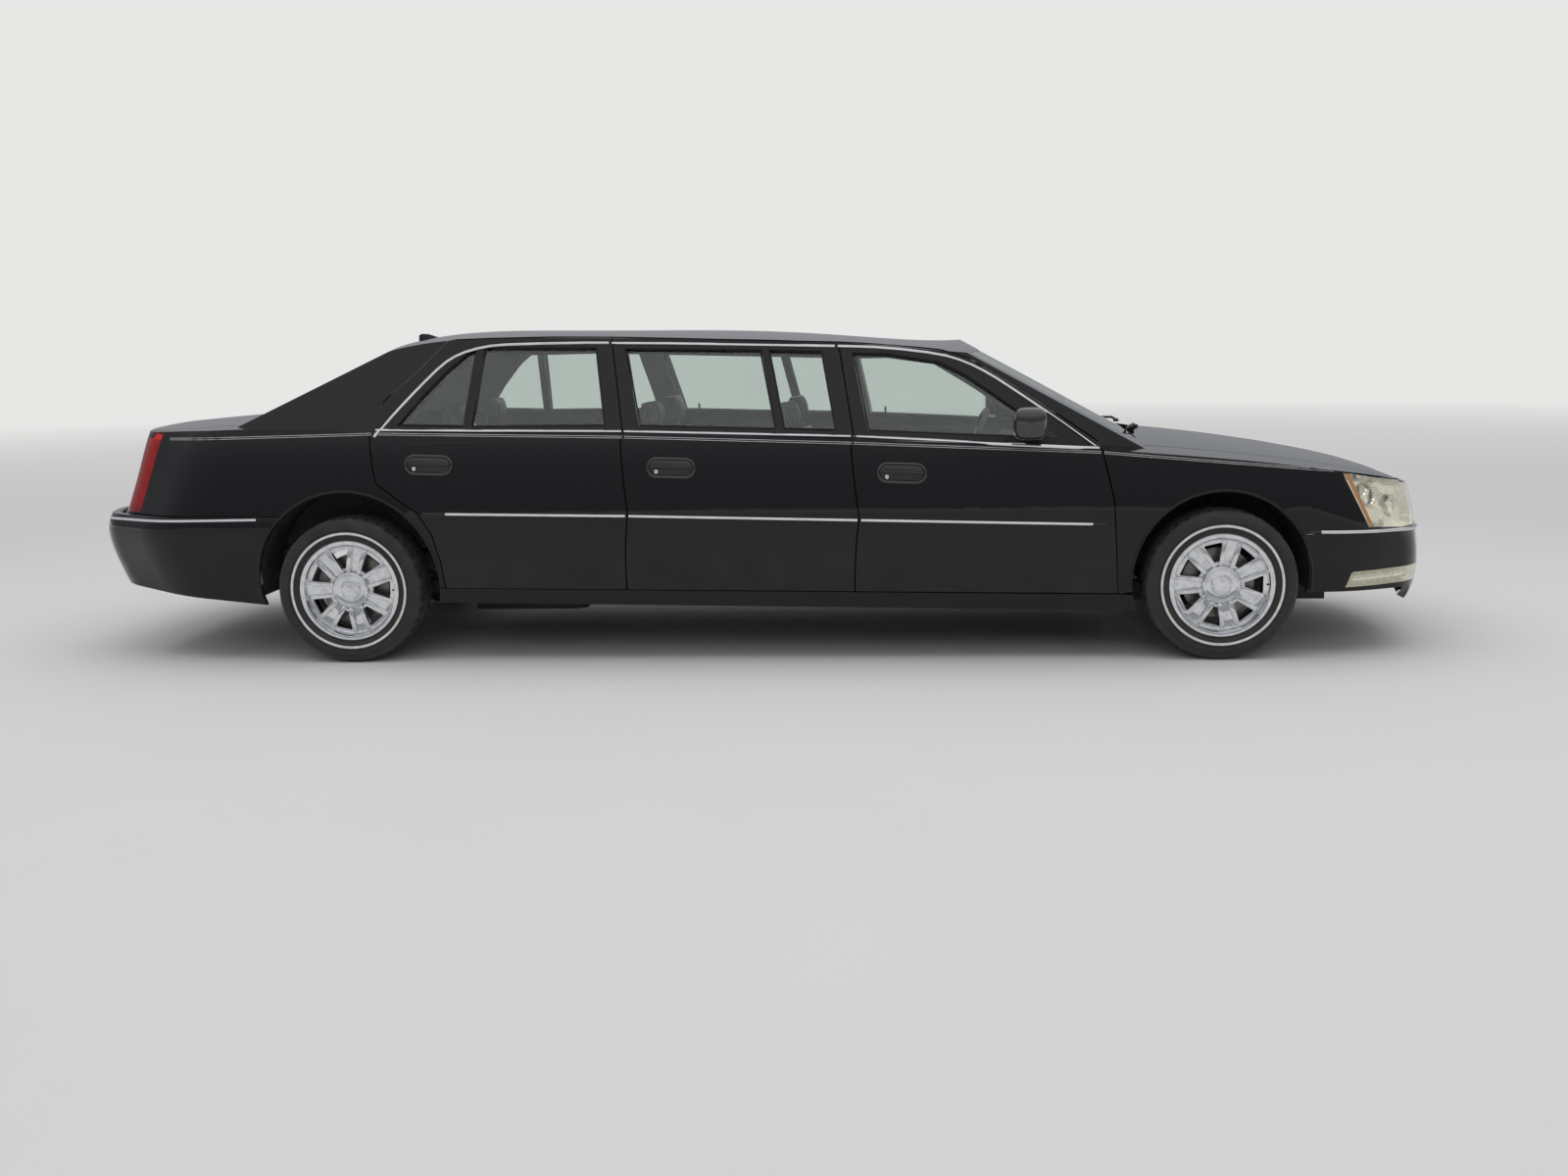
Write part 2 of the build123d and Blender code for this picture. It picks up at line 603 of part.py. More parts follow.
# Floor pan: side profile run across, with a tunnel, wheelhouses and the bulkhead
FLOOR_LINE = [(1700, floor_z), (-1290, floor_z), (-1420, 400), (-1560, 500), (-2120, 500), (-2260, 400),
    (-3000, 400)]
with BuildPart() as floor_pan:
    with BuildSketch(Plane.XZ):
        with BuildLine():
            Polyline(*FLOOR_LINE, *[(x, z + floor_thickness) for x, z in reversed(FLOOR_LINE)], close=True)
        make_face()
    extrude(amount=620, both=True)
    with Locations(((1700 - 1290) / 2, 0, floor_z + floor_thickness / 2)):
        Box(1700 + 1290, 2 * 740, floor_thickness)
    for side in (-1, 1):
        with Locations(((1690 - 1270) / 2, side * 700, 330)):
            Box(1690 + 1270, 112, 130)
        with Locations((-2620, side * 560, 440)):
            Box(760, 60, 100)
    with Locations((1684, 0, 610)):
        Box(24, 1480, 640)
save(floor_pan.part, "floor_pan")

# Seats
def bench(x, width, rows_y, base_z, back_top, cushion=520.0, lean=16.0):
    with BuildPart() as seat:
        with BuildSketch(Plane.XZ.offset(width / 2)):
            with BuildLine():
                Polyline((x, base_z), (x + cushion, base_z), (x + cushion + 20, base_z + 150),
                    (x + 90, base_z + 120),
                         (x - math.tan(math.radians(lean)) * (back_top - base_z) + 100,
                             back_top), (x - math.tan(math.radians(lean)) * (back_top - base_z) - 20,
                             back_top), close=True)
            make_face()
            fillet(vertices() , 22)
        extrude(amount=-width)
        for y in rows_y:
            xr = x - math.tan(math.radians(lean)) * (back_top - base_z) + 30
            with Locations((xr - 18, y, back_top + 95)):
                Box(95, 250, 140)
            for dy in (-50, 50):
                with Locations((xr - 10, y + dy, back_top + 10)):
                    Cylinder(7, 60)
    return seat.part

front = [bench(330, 520, (0,), 420, 1000), bench(330, 520, (0,), 420, 1000)]
with BuildPart() as front_seats:
    for y, seat in zip((-370, 370), front):
        add(seat.moved(Location((0, y, 0))))
        with Locations((560, y, (floor_top + 420) / 2)):
            Box(420, 420, 420 - floor_top)
save(front_seats.part, "front_seats")
with BuildPart() as middle_seat:
    add(bench(-330, 1300, (-380, 380), 430, 1010))
    for side in (-1, 1):
        with Locations((-80, side * 420, (floor_top + 430) / 2)):
            Box(420, 180, 430 - floor_top)
save(middle_seat.part, "middle_seat")
with BuildPart() as rear_seat:
    add(bench(-1300, 1220, (-380, 380), 440, 1010, cushion=500))
    with Locations((-1060, 0, (floor_top + 440) / 2)):
        Box(380, 1100, 440 - floor_top)
save(rear_seat.part, "rear_seat")

# Dashboard and column
with BuildPart() as dashboard:
    with BuildSketch(Plane.XZ.offset(700)):
        with BuildLine():
            Polyline((1672, 520), (1672, 930), (1500, 955), (1330, 945), (1250, 905), (1235, 840),
                (1290, 740), (1420, 620), (1560, 520), close=True)
        make_face()
        fillet(vertices(), 14)
    extrude(amount=-1400)
    with Locations((1380, 0, 540)):
        Box(360, 260, 420)
save(dashboard.part, "dashboard")
wheel_centre = (1085.0, 375.0, 905.0)
column_tilt = 24.0
steer_plane = Plane(origin=wheel_centre, x_dir=(0, 1, 0),
    z_dir=(-math.cos(math.radians(column_tilt)), 0, math.sin(math.radians(column_tilt))))
with BuildPart(steer_plane) as steering_wheel:
    Torus(182, 15)
    Cylinder(62, 44)
    with PolarLocations(110, 4, start_angle=20):
        Box(140, 26, 14)
    with Locations((0, 0, -85)):
        Cylinder(22, 130)
save(steering_wheel.part, "steering_wheel")

# Engine block, fuel tank, exhaust
with BuildPart() as engine:
    with Locations((2130, 0, 580)):
        Box(520, 620, 430)
save(engine.part, "engine")
with BuildPart() as fuel_tank:
    with Locations((-1120, 0, 220)):
        Box(560, 900, 100)
    fillet(fuel_tank.edges().filter_by(Axis.Z), 60)
save(fuel_tank.part, "fuel_tank")
with BuildPart() as exhaust:
    with Locations((0, 0, 225)):
        Box(1000, 260, 90)
save(exhaust.part, "exhaust")


# Sills under the doors
with BuildPart() as sill:
    add(lower_body.part)
    add(box(-1700, 1900, -1000, -757, 0, 420), mode=Mode.INTERSECT)
    add(side_prism([(-1460, 282), (1800, 224), (1800, 296), (1668, 302), (-1460, 350)], near_y, 500),
        mode=Mode.INTERSECT)
    add(arch_rear, mode=Mode.SUBTRACT)
    add(arch_front, mode=Mode.SUBTRACT)
save(both(sill.part), "sills")

# Door mirrors
with BuildPart() as mirror_right:
    with BuildSketch(Plane.XZ.offset(905)):
        with BuildLine():
            Polyline((1255, 1018), (1192, 1030), (1182, 1090), (1200, 1150), (1260, 1160), (1330, 1128),
                (1345, 1070), (1310, 1024), close=True)
        make_face()
        fillet(vertices(), 14)
    extrude(amount=165)
    with Locations((1290, -870, 1050)):
        Box(90, 110, 34)
save(mirror_right.part, "mirror_right")
save(mirror_right.part.mirror(Plane.XZ), "mirror_left")

# Written panels
save(roof.part, "roof")
save(pillars.part, "pillars")
save(both(fender.part), "front_fenders")
save(both(quarter.part), "rear_quarters")
save(hood.part, "hood")
save(trunk_lid.part, "trunk_lid")
save(front_bumper.part, "front_bumper")
save(rear_bumper.part, "rear_bumper")
with BuildPart() as front_lamps:
    add(both(headlamp.part))
    add(both(fog_lamp.part))
save(front_lamps.part, "front_lamps")
save(both(tail_lamp.part), "tail_lamps")
with BuildPart() as glass_set:
    add(fixed_glass.part)
    add(rear_glass.part)
save(glass_set.part, "fixed_glass")
for name in door_parts:
    save(door_parts[name], f"door_{name}_right")
    save(door_parts[name].mirror(Plane.XZ), f"door_{name}_left")
    save(glass_parts[name], f"glass_{name}_right")
    save(glass_parts[name].mirror(Plane.XZ), f"glass_{name}_left")
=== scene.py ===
import math
import bpy
from mathutils import Matrix, Vector


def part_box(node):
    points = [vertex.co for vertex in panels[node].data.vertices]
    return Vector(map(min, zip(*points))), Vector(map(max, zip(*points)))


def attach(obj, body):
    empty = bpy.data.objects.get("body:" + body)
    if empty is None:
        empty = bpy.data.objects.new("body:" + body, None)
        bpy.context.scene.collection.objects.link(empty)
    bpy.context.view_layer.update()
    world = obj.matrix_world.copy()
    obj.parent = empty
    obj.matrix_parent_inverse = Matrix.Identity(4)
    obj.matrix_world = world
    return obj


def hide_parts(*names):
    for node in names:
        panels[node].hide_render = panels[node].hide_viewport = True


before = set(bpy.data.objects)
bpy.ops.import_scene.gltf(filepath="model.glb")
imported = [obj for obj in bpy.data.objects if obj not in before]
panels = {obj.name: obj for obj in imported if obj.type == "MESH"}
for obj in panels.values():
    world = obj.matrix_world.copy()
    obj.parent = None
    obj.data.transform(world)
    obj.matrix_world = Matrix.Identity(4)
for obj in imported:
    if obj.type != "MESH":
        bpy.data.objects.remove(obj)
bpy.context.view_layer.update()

# Stretch limousine: finishes and trim. Metres, +X to the front, +Y to the left side.

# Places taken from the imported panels
tyre_low, tyre_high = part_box("tyre_fr")
rear_tyre_low, rear_tyre_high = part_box("tyre_rr")
front_axle = (tyre_low.x + tyre_high.x) / 2
rear_axle = (rear_tyre_low.x + rear_tyre_high.x) / 2
tyre_radius = (tyre_high.z - tyre_low.z) / 2
wheel_y = -(tyre_low.y + tyre_high.y) / 2
WHEELS = [
    # corner, axle, side
    ("fr", front_axle, -1), ("fl", front_axle, 1), ("rr", rear_axle, -1), ("rl", rear_axle, 1),
]
SIDES = ("right", "left")

# Lines along the side, seen from the side: x, z
ROOF_LINE = [
    (-1.690, 1.062), (-1.619, 1.155), (-1.520, 1.267), (-1.422, 1.369), (-1.350, 1.415), (-1.234, 1.447),
    (-1.096, 1.456), (-0.640, 1.456), (0.405, 1.423), (0.637, 1.412), (0.881, 1.379), (0.994, 1.344),
    (1.108, 1.284), (1.221, 1.208), (1.335, 1.130), (1.449, 1.049), (1.560, 0.966),
]
BELT_LINE = [(-1.690, 1.076), (-0.558, 1.057), (0.480, 1.022), (1.562, 0.958)]
PIN_LINE = [(-2.723, 1.044), (-1.694, 1.062), (-0.549, 1.034), (0.481, 0.995), (1.569, 0.942), (2.600, 0.846)]
RUB_LINE = [(-1.372, 0.698), (-0.539, 0.682), (0.509, 0.654), (1.542, 0.627)]
DOORS = [
    # door, rear and front end of its upper line, belt line and rub strip
    ("rear", (-1.700, -0.648), (-1.700, -0.564), (-1.372, -0.547)),
    ("middle", (-0.634, 0.398), (-0.552, 0.472), (-0.531, 0.500)),
    ("front", (0.412, 1.570), (0.488, 1.570), (0.517, 1.542)),
]
PINSTRIPES = [
    # body, panel's ends
    ("body", -2.720, -1.714), ("door_rear", -1.698, -0.558), ("door_middle", -0.548, 0.478),
    ("door_front", 0.486, 1.578), ("body", 1.590, 2.600),
]
WINDOWS = {
    # door, the corners of each of its panes
    "front": [
        [(0.549, 1.046), (0.478, 1.392), (0.640, 1.386), (0.870, 1.346), (0.985, 1.290), (1.100, 1.213),
         (1.400, 1.000), (1.180, 1.010)],
    ],
    "middle": [
        [(-0.487, 1.080), (-0.572, 1.428), (0.060, 1.413), (0.138, 1.058)],
        [(0.172, 1.057), (0.094, 1.411), (0.340, 1.401), (0.408, 1.048)],
    ],
    "rear": [
        [(-0.640, 1.084), (-0.704, 1.434), (-1.232, 1.444), (-1.256, 1.086)],
        [(-1.292, 1.087), (-1.268, 1.441), (-1.305, 1.425), (-1.400, 1.340), (-1.500, 1.230),
         (-1.606, 1.096)],
    ],
}
# Lower and upper edges of the lamps, from their end on the side to the nose or tail: x, z
HEADLAMP_LOW = [(2.770, 0.590), (2.952, 0.574), (3.180, 0.588)]
HEADLAMP_HIGH = [(2.637, 0.838), (2.880, 0.796), (3.180, 0.752)]
LOW_LAMP_LOW = [(2.676, 0.318), (3.100, 0.326)]
LOW_LAMP_HIGH = [(2.700, 0.392), (3.075, 0.402)]
TAIL_LAMP_LOW = [(-2.900, 0.702), (-3.300, 0.702)]
TAIL_LAMP_HIGH = [(-2.776, 1.035), (-3.300, 1.035)]
HANDLES = [
    # door, middle of its handle x, z
    ("rear", -1.446, 0.920), ("middle", -0.336, 0.895), ("front", 0.700, 0.861),
]


class Wire:
    """A socket of a shader, so that sums and masks can be written as expressions."""

    def __init__(self, tree, socket):
        self.tree = tree
        self.socket = socket

    def math(self, operation, *values):
        """A Math node on values in their order, each a number or a Wire."""
        inputs = {f"i{place}": value for place, value in enumerate(values)}
        return add_node(self.tree, "ShaderNodeMath", {"operation": operation}, **inputs)

    def __add__(self, other):
        return self.math("ADD", self, other)

    def __sub__(self, other):
        return self.math("SUBTRACT", self, other)

    def __rsub__(self, other):
        return self.math("SUBTRACT", other, self)

    def __mul__(self, other):
        return self.math("MULTIPLY", self, other)

    def __pow__(self, other):
        return self.math("POWER", self, other)

    def __abs__(self):
        return self.math("ABSOLUTE", self)

    def __gt__(self, other):
        return self.math("GREATER_THAN", self, other)

    def __lt__(self, other):
        return self.math("LESS_THAN", self, other)

    __radd__ = __add__
    __rmul__ = __mul__

    def largest(self, other):
        return self.math("MAXIMUM", self, other)

    def sine(self):
        return self.math("SINE", self)

    def clamped(self):
        return add_node(self.tree, "ShaderNodeClamp", i0=self)


def add_node(tree, kind, settings=None, out=0, **inputs):
    """A new node with its settings and its sockets' values or links, read at one of its outputs.

    A ramp's stops are places and colours. A socket goes by its name, or by i and its number."""
    made = tree.nodes.new(kind)
    for setting, value in (settings or {}).items():
        if setting == "stops":
            ramp = made.color_ramp
            while len(ramp.elements) < len(value):
                ramp.elements.new(0.5)
            for element, (position, colour) in zip(ramp.elements, value):
                element.position = position
                element.color = (*colour, 1)
        else:
            setattr(made, setting, value)
    for socket, value in inputs.items():
        key = int(socket[1:]) if socket[1:].isdigit() else socket.replace("_", " ")
        if isinstance(value, Wire):
            tree.links.new(value.socket, made.inputs[key])
        else:
            made.inputs[key].default_value = value
    return Wire(tree, made.outputs[out])


class Finish:
    """A material: one principled shader and the nodes that feed it."""

    def __init__(self, name, **constants):
        self.material = bpy.data.materials.new(name)
        self.material.use_nodes = True
        self.tree = self.material.node_tree
        self.shader = self.tree.nodes["Principled BSDF"]
        for socket, value in constants.items():
            self.shader.inputs[socket.replace("_", " ")].default_value = value
        self.place = self.node("ShaderNodeTexCoord", out="Object")

    def node(self, kind, settings=None, out=0, **inputs):
        return add_node(self.tree, kind, settings, out, **inputs)

    def split(self, vector):
        """The x, y and z of a vector socket."""
        node = self.tree.nodes.new("ShaderNodeSeparateXYZ")
        self.tree.links.new(vector.socket, node.inputs[0])
        return [Wire(self.tree, output) for output in node.outputs]

    def axes(self):
        return self.split(self.place)

    def facing(self):
        return self.split(self.node("ShaderNodeNewGeometry", out="True Normal"))

    def noise(self, scale, detail=3.0, roughness=0.55, stretch=None):
        place = self.place
        if stretch:
            place = self.node("ShaderNodeMapping", {"vector_type": "POINT"}, Vector=place, Scale=stretch)
        return self.node("ShaderNodeTexNoise", Vector=place, Scale=scale, Detail=detail, Roughness=roughness)

    def cells(self, scale):
        """Distance from the edges of a leather grain's cells."""
        settings = {"feature": "DISTANCE_TO_EDGE"}
        return self.node("ShaderNodeTexVoronoi", settings, Vector=self.place, Scale=scale)

    def band(self, wire, low, high):
        """From 0 at low to 1 at high, level beyond them."""
        return self.node("ShaderNodeMapRange", {"clamp": True}, Value=wire, From_Min=low, From_Max=high)

    def mix(self, factor, first, second):
        """A colour between two colours, each a Wire or red, green and blue."""
        start, end = [colour if isinstance(colour, Wire) else (*colour, 1) for colour in (first, second)]
        return self.node("ShaderNodeMix", {"data_type": "RGBA"}, out=2, i0=factor, i6=start, i7=end)

    def feed(self, **sockets):
        for socket, value in sockets.items():
            self.tree.links.new(value.socket, self.shader.inputs[socket.replace("_", " ")])

    def bumped(self, height, distance, strength):
        """The finished material, with a fine relief."""
        rise = self.node("ShaderNodeBump", out="Normal", Height=height, Distance=distance, Strength=strength)
        self.feed(Normal=rise)
        return self.material


PAINT_GLOSS = {"Coat_Roughness": 0.012, "Coat_IOR": 1.34, "Specular_IOR_Level": 0.08}
DOOR_GLOSS = {**PAINT_GLOSS, "Specular_IOR_Level": 0.10}
DUST = (0.075, 0.066, 0.055)


def black_coat(paint):
    """The black coat's colour, with its fine flakes."""
    return paint.mix(paint.noise(900.0, 1.0), (0.0035, 0.0035, 0.0042), (0.0075, 0.0075, 0.0088))


def road_dust(paint, z, high, low):
    """Mask of the dust along the sills, gone at high and thickest at low."""
    return paint.band(z, high, low) * paint.band(paint.noise(7.0, 6.0), 0.35, 0.75)


def orange_peel(paint):
    """The coat's slight waves."""
    return paint.noise(260.0, 2.0)


def make_paint():
    """Body panels: glossy black outside, dusty low down, dull on the faces turned inwards or down."""
    paint = Finish("body_paint", **PAINT_GLOSS)
    x, y, z = paint.axes()
    nx, ny, nz = paint.facing()
    inward = ((y * ny + (z - 0.95) * nz) < -0.02) * (nz < 0.3)
    under = nz < -0.72
    inside = inward.largest(under * (z < 0.5))
    dust = road_dust(paint, z, 0.62, 0.25)
    colour = paint.mix(dust * 0.2, black_coat(paint), DUST)
    colour = paint.mix(inside, colour, (0.016, 0.016, 0.017))
    paint.feed(Base_Color=colour, Roughness=(dust * 0.3 + inside * 0.5 + 0.16).clamped())
    paint.feed(Coat_Weight=(1 - inside) * (1 - dust * 0.6))
    return paint.bumped(orange_peel(paint), 0.00006, 0.25)


def make_cabin_paint():
    """Roof and pillars: paint outside, a woven lining inside."""
    paint = Finish("cabin_paint", **PAINT_GLOSS)
    x, y, z = paint.axes()
    nx, ny, nz = paint.facing()
    inward = (x * nx * 0.12 + y * ny + (z - 1.05) * nz) < 0.0
    weave = (x * 5200).sine() * (y * 5200).sine() * 0.5 + 0.5
    lining = paint.mix(weave, (0.30, 0.29, 0.27), (0.40, 0.39, 0.365))
    colour = paint.mix(inward, black_coat(paint), lining)
    paint.feed(Base_Color=colour, Roughness=inward * 0.72 + 0.18, Coat_Weight=1 - inward)
    return paint.bumped(weave * inward + orange_peel(paint) * (1 - inward) * 0.2, 0.0003, 0.3)


def make_door_paint():
    """Doors: paint outside, semi-gloss pillar covers beside the glass, a leather-grain lining inside."""
    paint = Finish("door_paint", **DOOR_GLOSS)
    x, y, z = paint.axes()
    nx, ny, nz = paint.facing()
    outward = y * ny > 0.25
    belt = 1.040 - x * 0.034 - x * x * 0.0125
    above = z > belt + 0.006
    lining = (y * ny < -0.3) * (1 - above * 0.65)
    edge = 1 - outward.largest(lining)
    dust = road_dust(paint, z, 0.60, 0.28)
    black = paint.mix(dust * 0.2, black_coat(paint), DUST)
    cover = paint.mix(paint.noise(60.0, 3.0), (0.0120, 0.0105, 0.0112), (0.0165, 0.0150, 0.0158))
    leather = paint.mix(paint.noise(25.0, 4.0), (0.030, 0.029, 0.029), (0.048, 0.047, 0.046))
    colour = paint.mix(lining, paint.mix(above, black, cover), leather)
    rough = above * 0.16 + dust * 0.3 + lining * 0.38 + 0.16
    coat = (1 - lining) * (1 - above * 0.55) * (1 - edge * 0.4)
    paint.feed(Base_Color=colour, Roughness=rough.clamped(), Coat_Weight=coat)
    relief = paint.cells(420.0) * lining + orange_peel(paint) * (1 - lining) * 0.1
    return paint.bumped(relief, 0.0004, 0.35)


def make_chrome():
    """Bright trim, a little smeared."""
    chrome = Finish("bright_chrome", Metallic=1.0)
    smear = chrome.band(chrome.noise(14.0, 5.0), 0.30, 0.80)
    colour = chrome.mix(smear, (0.80, 0.81, 0.83), (0.68, 0.69, 0.70))
    chrome.feed(Base_Color=colour, Roughness=smear * 0.10 + 0.05)
    return chrome.bumped(chrome.noise(180.0, 2.0), 0.00005, 0.2)


def make_wheel_chrome():
    """Plated wheel with brake dust in its corners and a dull cast back."""
    chrome = Finish("wheel_chrome")
    x, y, z = chrome.axes()
    back = abs(y) < wheel_y + 0.018
    dirt = chrome.band(chrome.noise(30.0, 6.0), 0.42, 0.80)
    grime = dirt * 0.35 + back * 0.55
    chrome.feed(Base_Color=chrome.mix(grime.clamped(), (0.77, 0.78, 0.80), (0.09, 0.08, 0.07)))
    chrome.feed(Roughness=(grime * 0.55 + 0.06).clamped(), Metallic=1 - back * 0.55)
    return chrome.bumped(chrome.noise(140.0, 3.0), 0.0001, 0.15)


def axle_distance(x, z):
    """Distance from the nearer wheel's centre, seen from the side."""
    near_front = x > (front_axle + rear_axle) / 2
    across = x - (near_front * (front_axle - rear_axle) + rear_axle)
    return (across * across + (z - tyre_radius) * (z - tyre_radius)) ** 0.5


def make_rubber():
    """Tyre rubber, dusty on the tread."""
    rubber = Finish("tyre_rubber", IOR=1.45)
    x, y, z = rubber.axes()
    worn = rubber.band(rubber.noise(16.0, 7.0), 0.35, 0.75)
    tread = rubber.band(axle_distance(x, z), tyre_radius - 0.030, tyre_radius - 0.006)
    black = rubber.mix(worn, (0.016, 0.016, 0.017), (0.034, 0.033, 0.032))
    dusty = rubber.mix(worn, (0.050, 0.047, 0.043), (0.085, 0.079, 0.070))
    rubber.feed(Base_Color=rubber.mix(tread * 0.7, black, dusty), Roughness=worn * 0.2 + 0.62)
    return rubber.bumped(rubber.noise(340.0, 4.0), 0.0006, 0.5)


def make_plain(name, dark, light, rough, scale=40.0, metal=0.0, bump=0.0003, coat=0.0, spread=0.15):
    """A finish that varies softly between two colours."""
    finish = Finish(name, Metallic=metal, Coat_Weight=coat)
    cloud = finish.band(finish.noise(scale, 6.0), 0.3, 0.7)
    finish.feed(Base_Color=finish.mix(cloud, dark, light), Roughness=cloud * spread + rough)
    return finish.bumped(finish.noise(scale * 9, 4.0), bump, 0.4)


def make_glass(name, tint, rough=0.0):
    """Clear or tinted glass under a thin film of dirt."""
    glass = Finish(name, Transmission_Weight=1.0, IOR=1.45)
    film = glass.band(glass.noise(3.0, 5.0), 0.35, 0.8)
    pale = tuple(min(1.0, channel * 1.04) for channel in tint)
    glass.feed(Base_Color=glass.mix(film, tint, pale), Roughness=film * 0.004 + rough)
    return glass.material


def make_leather():
    """Seat leather with its grain and a few long creases."""
    leather = Finish("seat_leather", IOR=1.45)
    creases = leather.band(leather.noise(22.0, 6.0, 0.65, (1.0, 3.0, 1.0)), 0.45, 0.62)
    colour = leather.mix(creases, (0.040, 0.039, 0.040), (0.070, 0.068, 0.067))
    leather.feed(Base_Color=colour, Roughness=creases * 0.12 + 0.40)
    return leather.bumped(leather.cells(380.0) * 0.6 + creases * 0.5, 0.0009, 0.5)


def make_floor_pan():
    """Undersealed steel below, carpet above."""
    pan = Finish("floor_pan_finish")
    nx, ny, nz = pan.facing()
    upper = nz > 0.3
    tuft = pan.noise(700.0, 3.0, 0.7)
    carpet = pan.mix(tuft, (0.012, 0.012, 0.013), (0.045, 0.044, 0.043))
    sealer = pan.mix(pan.noise(18.0, 6.0), (0.020, 0.019, 0.018), (0.060, 0.055, 0.050))
    pan.feed(Base_Color=pan.mix(upper, sealer, carpet), Roughness=upper * 0.2 + 0.7)
    return pan.bumped(pan.noise(160.0, 5.0) + tuft * upper, 0.0025, 0.7)


PAINT = make_paint()
CABIN = make_cabin_paint()
DOOR = make_door_paint()
CHROME = make_chrome()
WHEEL = make_wheel_chrome()
RUBBER = make_rubber()
GLASS = make_glass("tinted_window_glass", (0.70, 0.76, 0.73))
LENS = make_glass("clear_lens", (0.93, 0.92, 0.86), 0.01)
RED_LENS = make_glass("red_lens", (0.62, 0.012, 0.010), 0.03)
AMBER = make_plain("amber_lens", (0.55, 0.17, 0.020), (0.68, 0.24, 0.035), 0.14, 90.0, coat=1.0)
REFLECTOR = make_plain("lamp_reflector", (0.70, 0.69, 0.64), (0.82, 0.81, 0.76), 0.08, 60.0, metal=1.0)
WHITE_BAND = make_plain("white_band", (0.50, 0.49, 0.46), (0.70, 0.69, 0.66), 0.55, 35.0)
STRIPE = make_plain("silver_stripe", (0.36, 0.37, 0.37), (0.46, 0.47, 0.47), 0.35, 30.0, coat=0.6)
BLACK_TRIM = make_plain("black_trim", (0.010, 0.010, 0.011), (0.019, 0.019, 0.020), 0.38, 50.0)
SEAL = make_plain("rubber_seal", (0.010, 0.010, 0.010), (0.020, 0.020, 0.020), 0.72, 120.0)
STEEL = make_plain("chassis_steel", (0.030, 0.029, 0.028), (0.075, 0.062, 0.050), 0.55, 22.0, metal=0.5,
                   bump=0.0008)
EXHAUST = make_plain("exhaust_steel", (0.20, 0.19, 0.17), (0.36, 0.33, 0.29), 0.38, 26.0, metal=0.9)
CAST = make_plain("cast_alloy", (0.16, 0.16, 0.16), (0.30, 0.30, 0.29), 0.45, 60.0, metal=0.8, bump=0.0012)
UNDERSEAL = make_plain("underseal", (0.018, 0.017, 0.016), (0.050, 0.046, 0.042), 0.75, 20.0, bump=0.002)
PLASTIC = make_plain("dash_plastic", (0.020, 0.020, 0.021), (0.032, 0.032, 0.033), 0.55, 70.0, bump=0.0006)
LEATHER = make_leather()
ROTOR = make_plain("brake_disc", (0.16, 0.15, 0.14), (0.34, 0.33, 0.32), 0.32, 45.0, metal=0.9)
RED_BACK = make_plain("tail_lamp_back", (0.45, 0.05, 0.04), (0.75, 0.10, 0.08), 0.25, 70.0, metal=0.3)
HANDLE = make_plain("handle_gloss", (0.006, 0.006, 0.007), (0.010, 0.010, 0.011), 0.10, 60.0, bump=0.0,
                    coat=1.0, spread=0.04)
MIRROR = make_plain("mirror_glass", (0.82, 0.84, 0.86), (0.88, 0.90, 0.92), 0.01, 4.0, metal=1.0, bump=0.0,
                    spread=0.01)
PAN = make_floor_pan()

NODE_FINISHES = {
    "floor_pan": PAN, "sills": PAINT, "roof": CABIN, "pillars": CABIN, "rear_quarters": PAINT,
    "front_fenders": PAINT, "front_bumper": PAINT, "rear_bumper": PAINT, "grille": CHROME,
    "fixed_glass": GLASS, "front_lamps": LENS, "tail_lamps": RED_LENS, "front_seats": LEATHER,
    "middle_seat": LEATHER, "rear_seat": LEATHER, "dashboard": PLASTIC, "engine": CAST,
    "front_subframe": STEEL, "rear_suspension": STEEL, "exhaust": EXHAUST, "fuel_tank": UNDERSEAL,
    "hood": PAINT, "trunk_lid": PAINT, "steering_wheel": LEATHER,
}
for side_name in SIDES:
    NODE_FINISHES[f"knuckle_{side_name}"] = CAST
    NODE_FINISHES[f"mirror_{side_name}"] = PAINT
    for door_name in ("front", "middle", "rear"):
        NODE_FINISHES[f"door_{door_name}_{side_name}"] = DOOR
        NODE_FINISHES[f"glass_{door_name}_{side_name}"] = GLASS
for corner_name in ("fr", "fl", "rr", "rl"):
    NODE_FINISHES[f"wheel_{corner_name}"] = WHEEL
    NODE_FINISHES[f"tyre_{corner_name}"] = RUBBER
for node_name, node_finish in NODE_FINISHES.items():
    panels[node_name].data.materials.clear()
    panels[node_name].data.materials.append(node_finish)


def deselect():
    bpy.ops.object.select_all(action="DESELECT")


def pick(piece):
    deselect()
    piece.select_set(True)
    bpy.context.view_layer.objects.active = piece


RIGHT_PANELS = [
    "rear_quarters", "door_rear_right", "door_middle_right", "door_front_right", "front_fenders",
    "rear_bumper", "front_bumper", "glass_rear_right", "glass_middle_right", "glass_front_right", "roof",
    "pillars",
]
CLEAR_OF_SIDE = -1.4
CLEAR_ABOVE = 2.2


def side_hit(x, z, names):
    """The y at which a line across the car first meets one of the right-hand panels named, or None."""
    hits = []
    for name in names:
        origin = Vector((x, CLEAR_OF_SIDE, z))
        struck, place, normal, face = panels[name].ray_cast(origin, Vector((0, 1, 0)))
        if struck:
            hits.append(place.y)
    return min(hits, default=None)


def screen_point(x, y, lift):
    """A place on the windscreen under x and y, moved outwards by lift, or None."""
    origin = Vector((x, y, CLEAR_ABOVE))
    struck, place, normal, face = panels["fixed_glass"].ray_cast(origin, Vector((0, 0, -1)))
    return place + normal * lift if struck else None


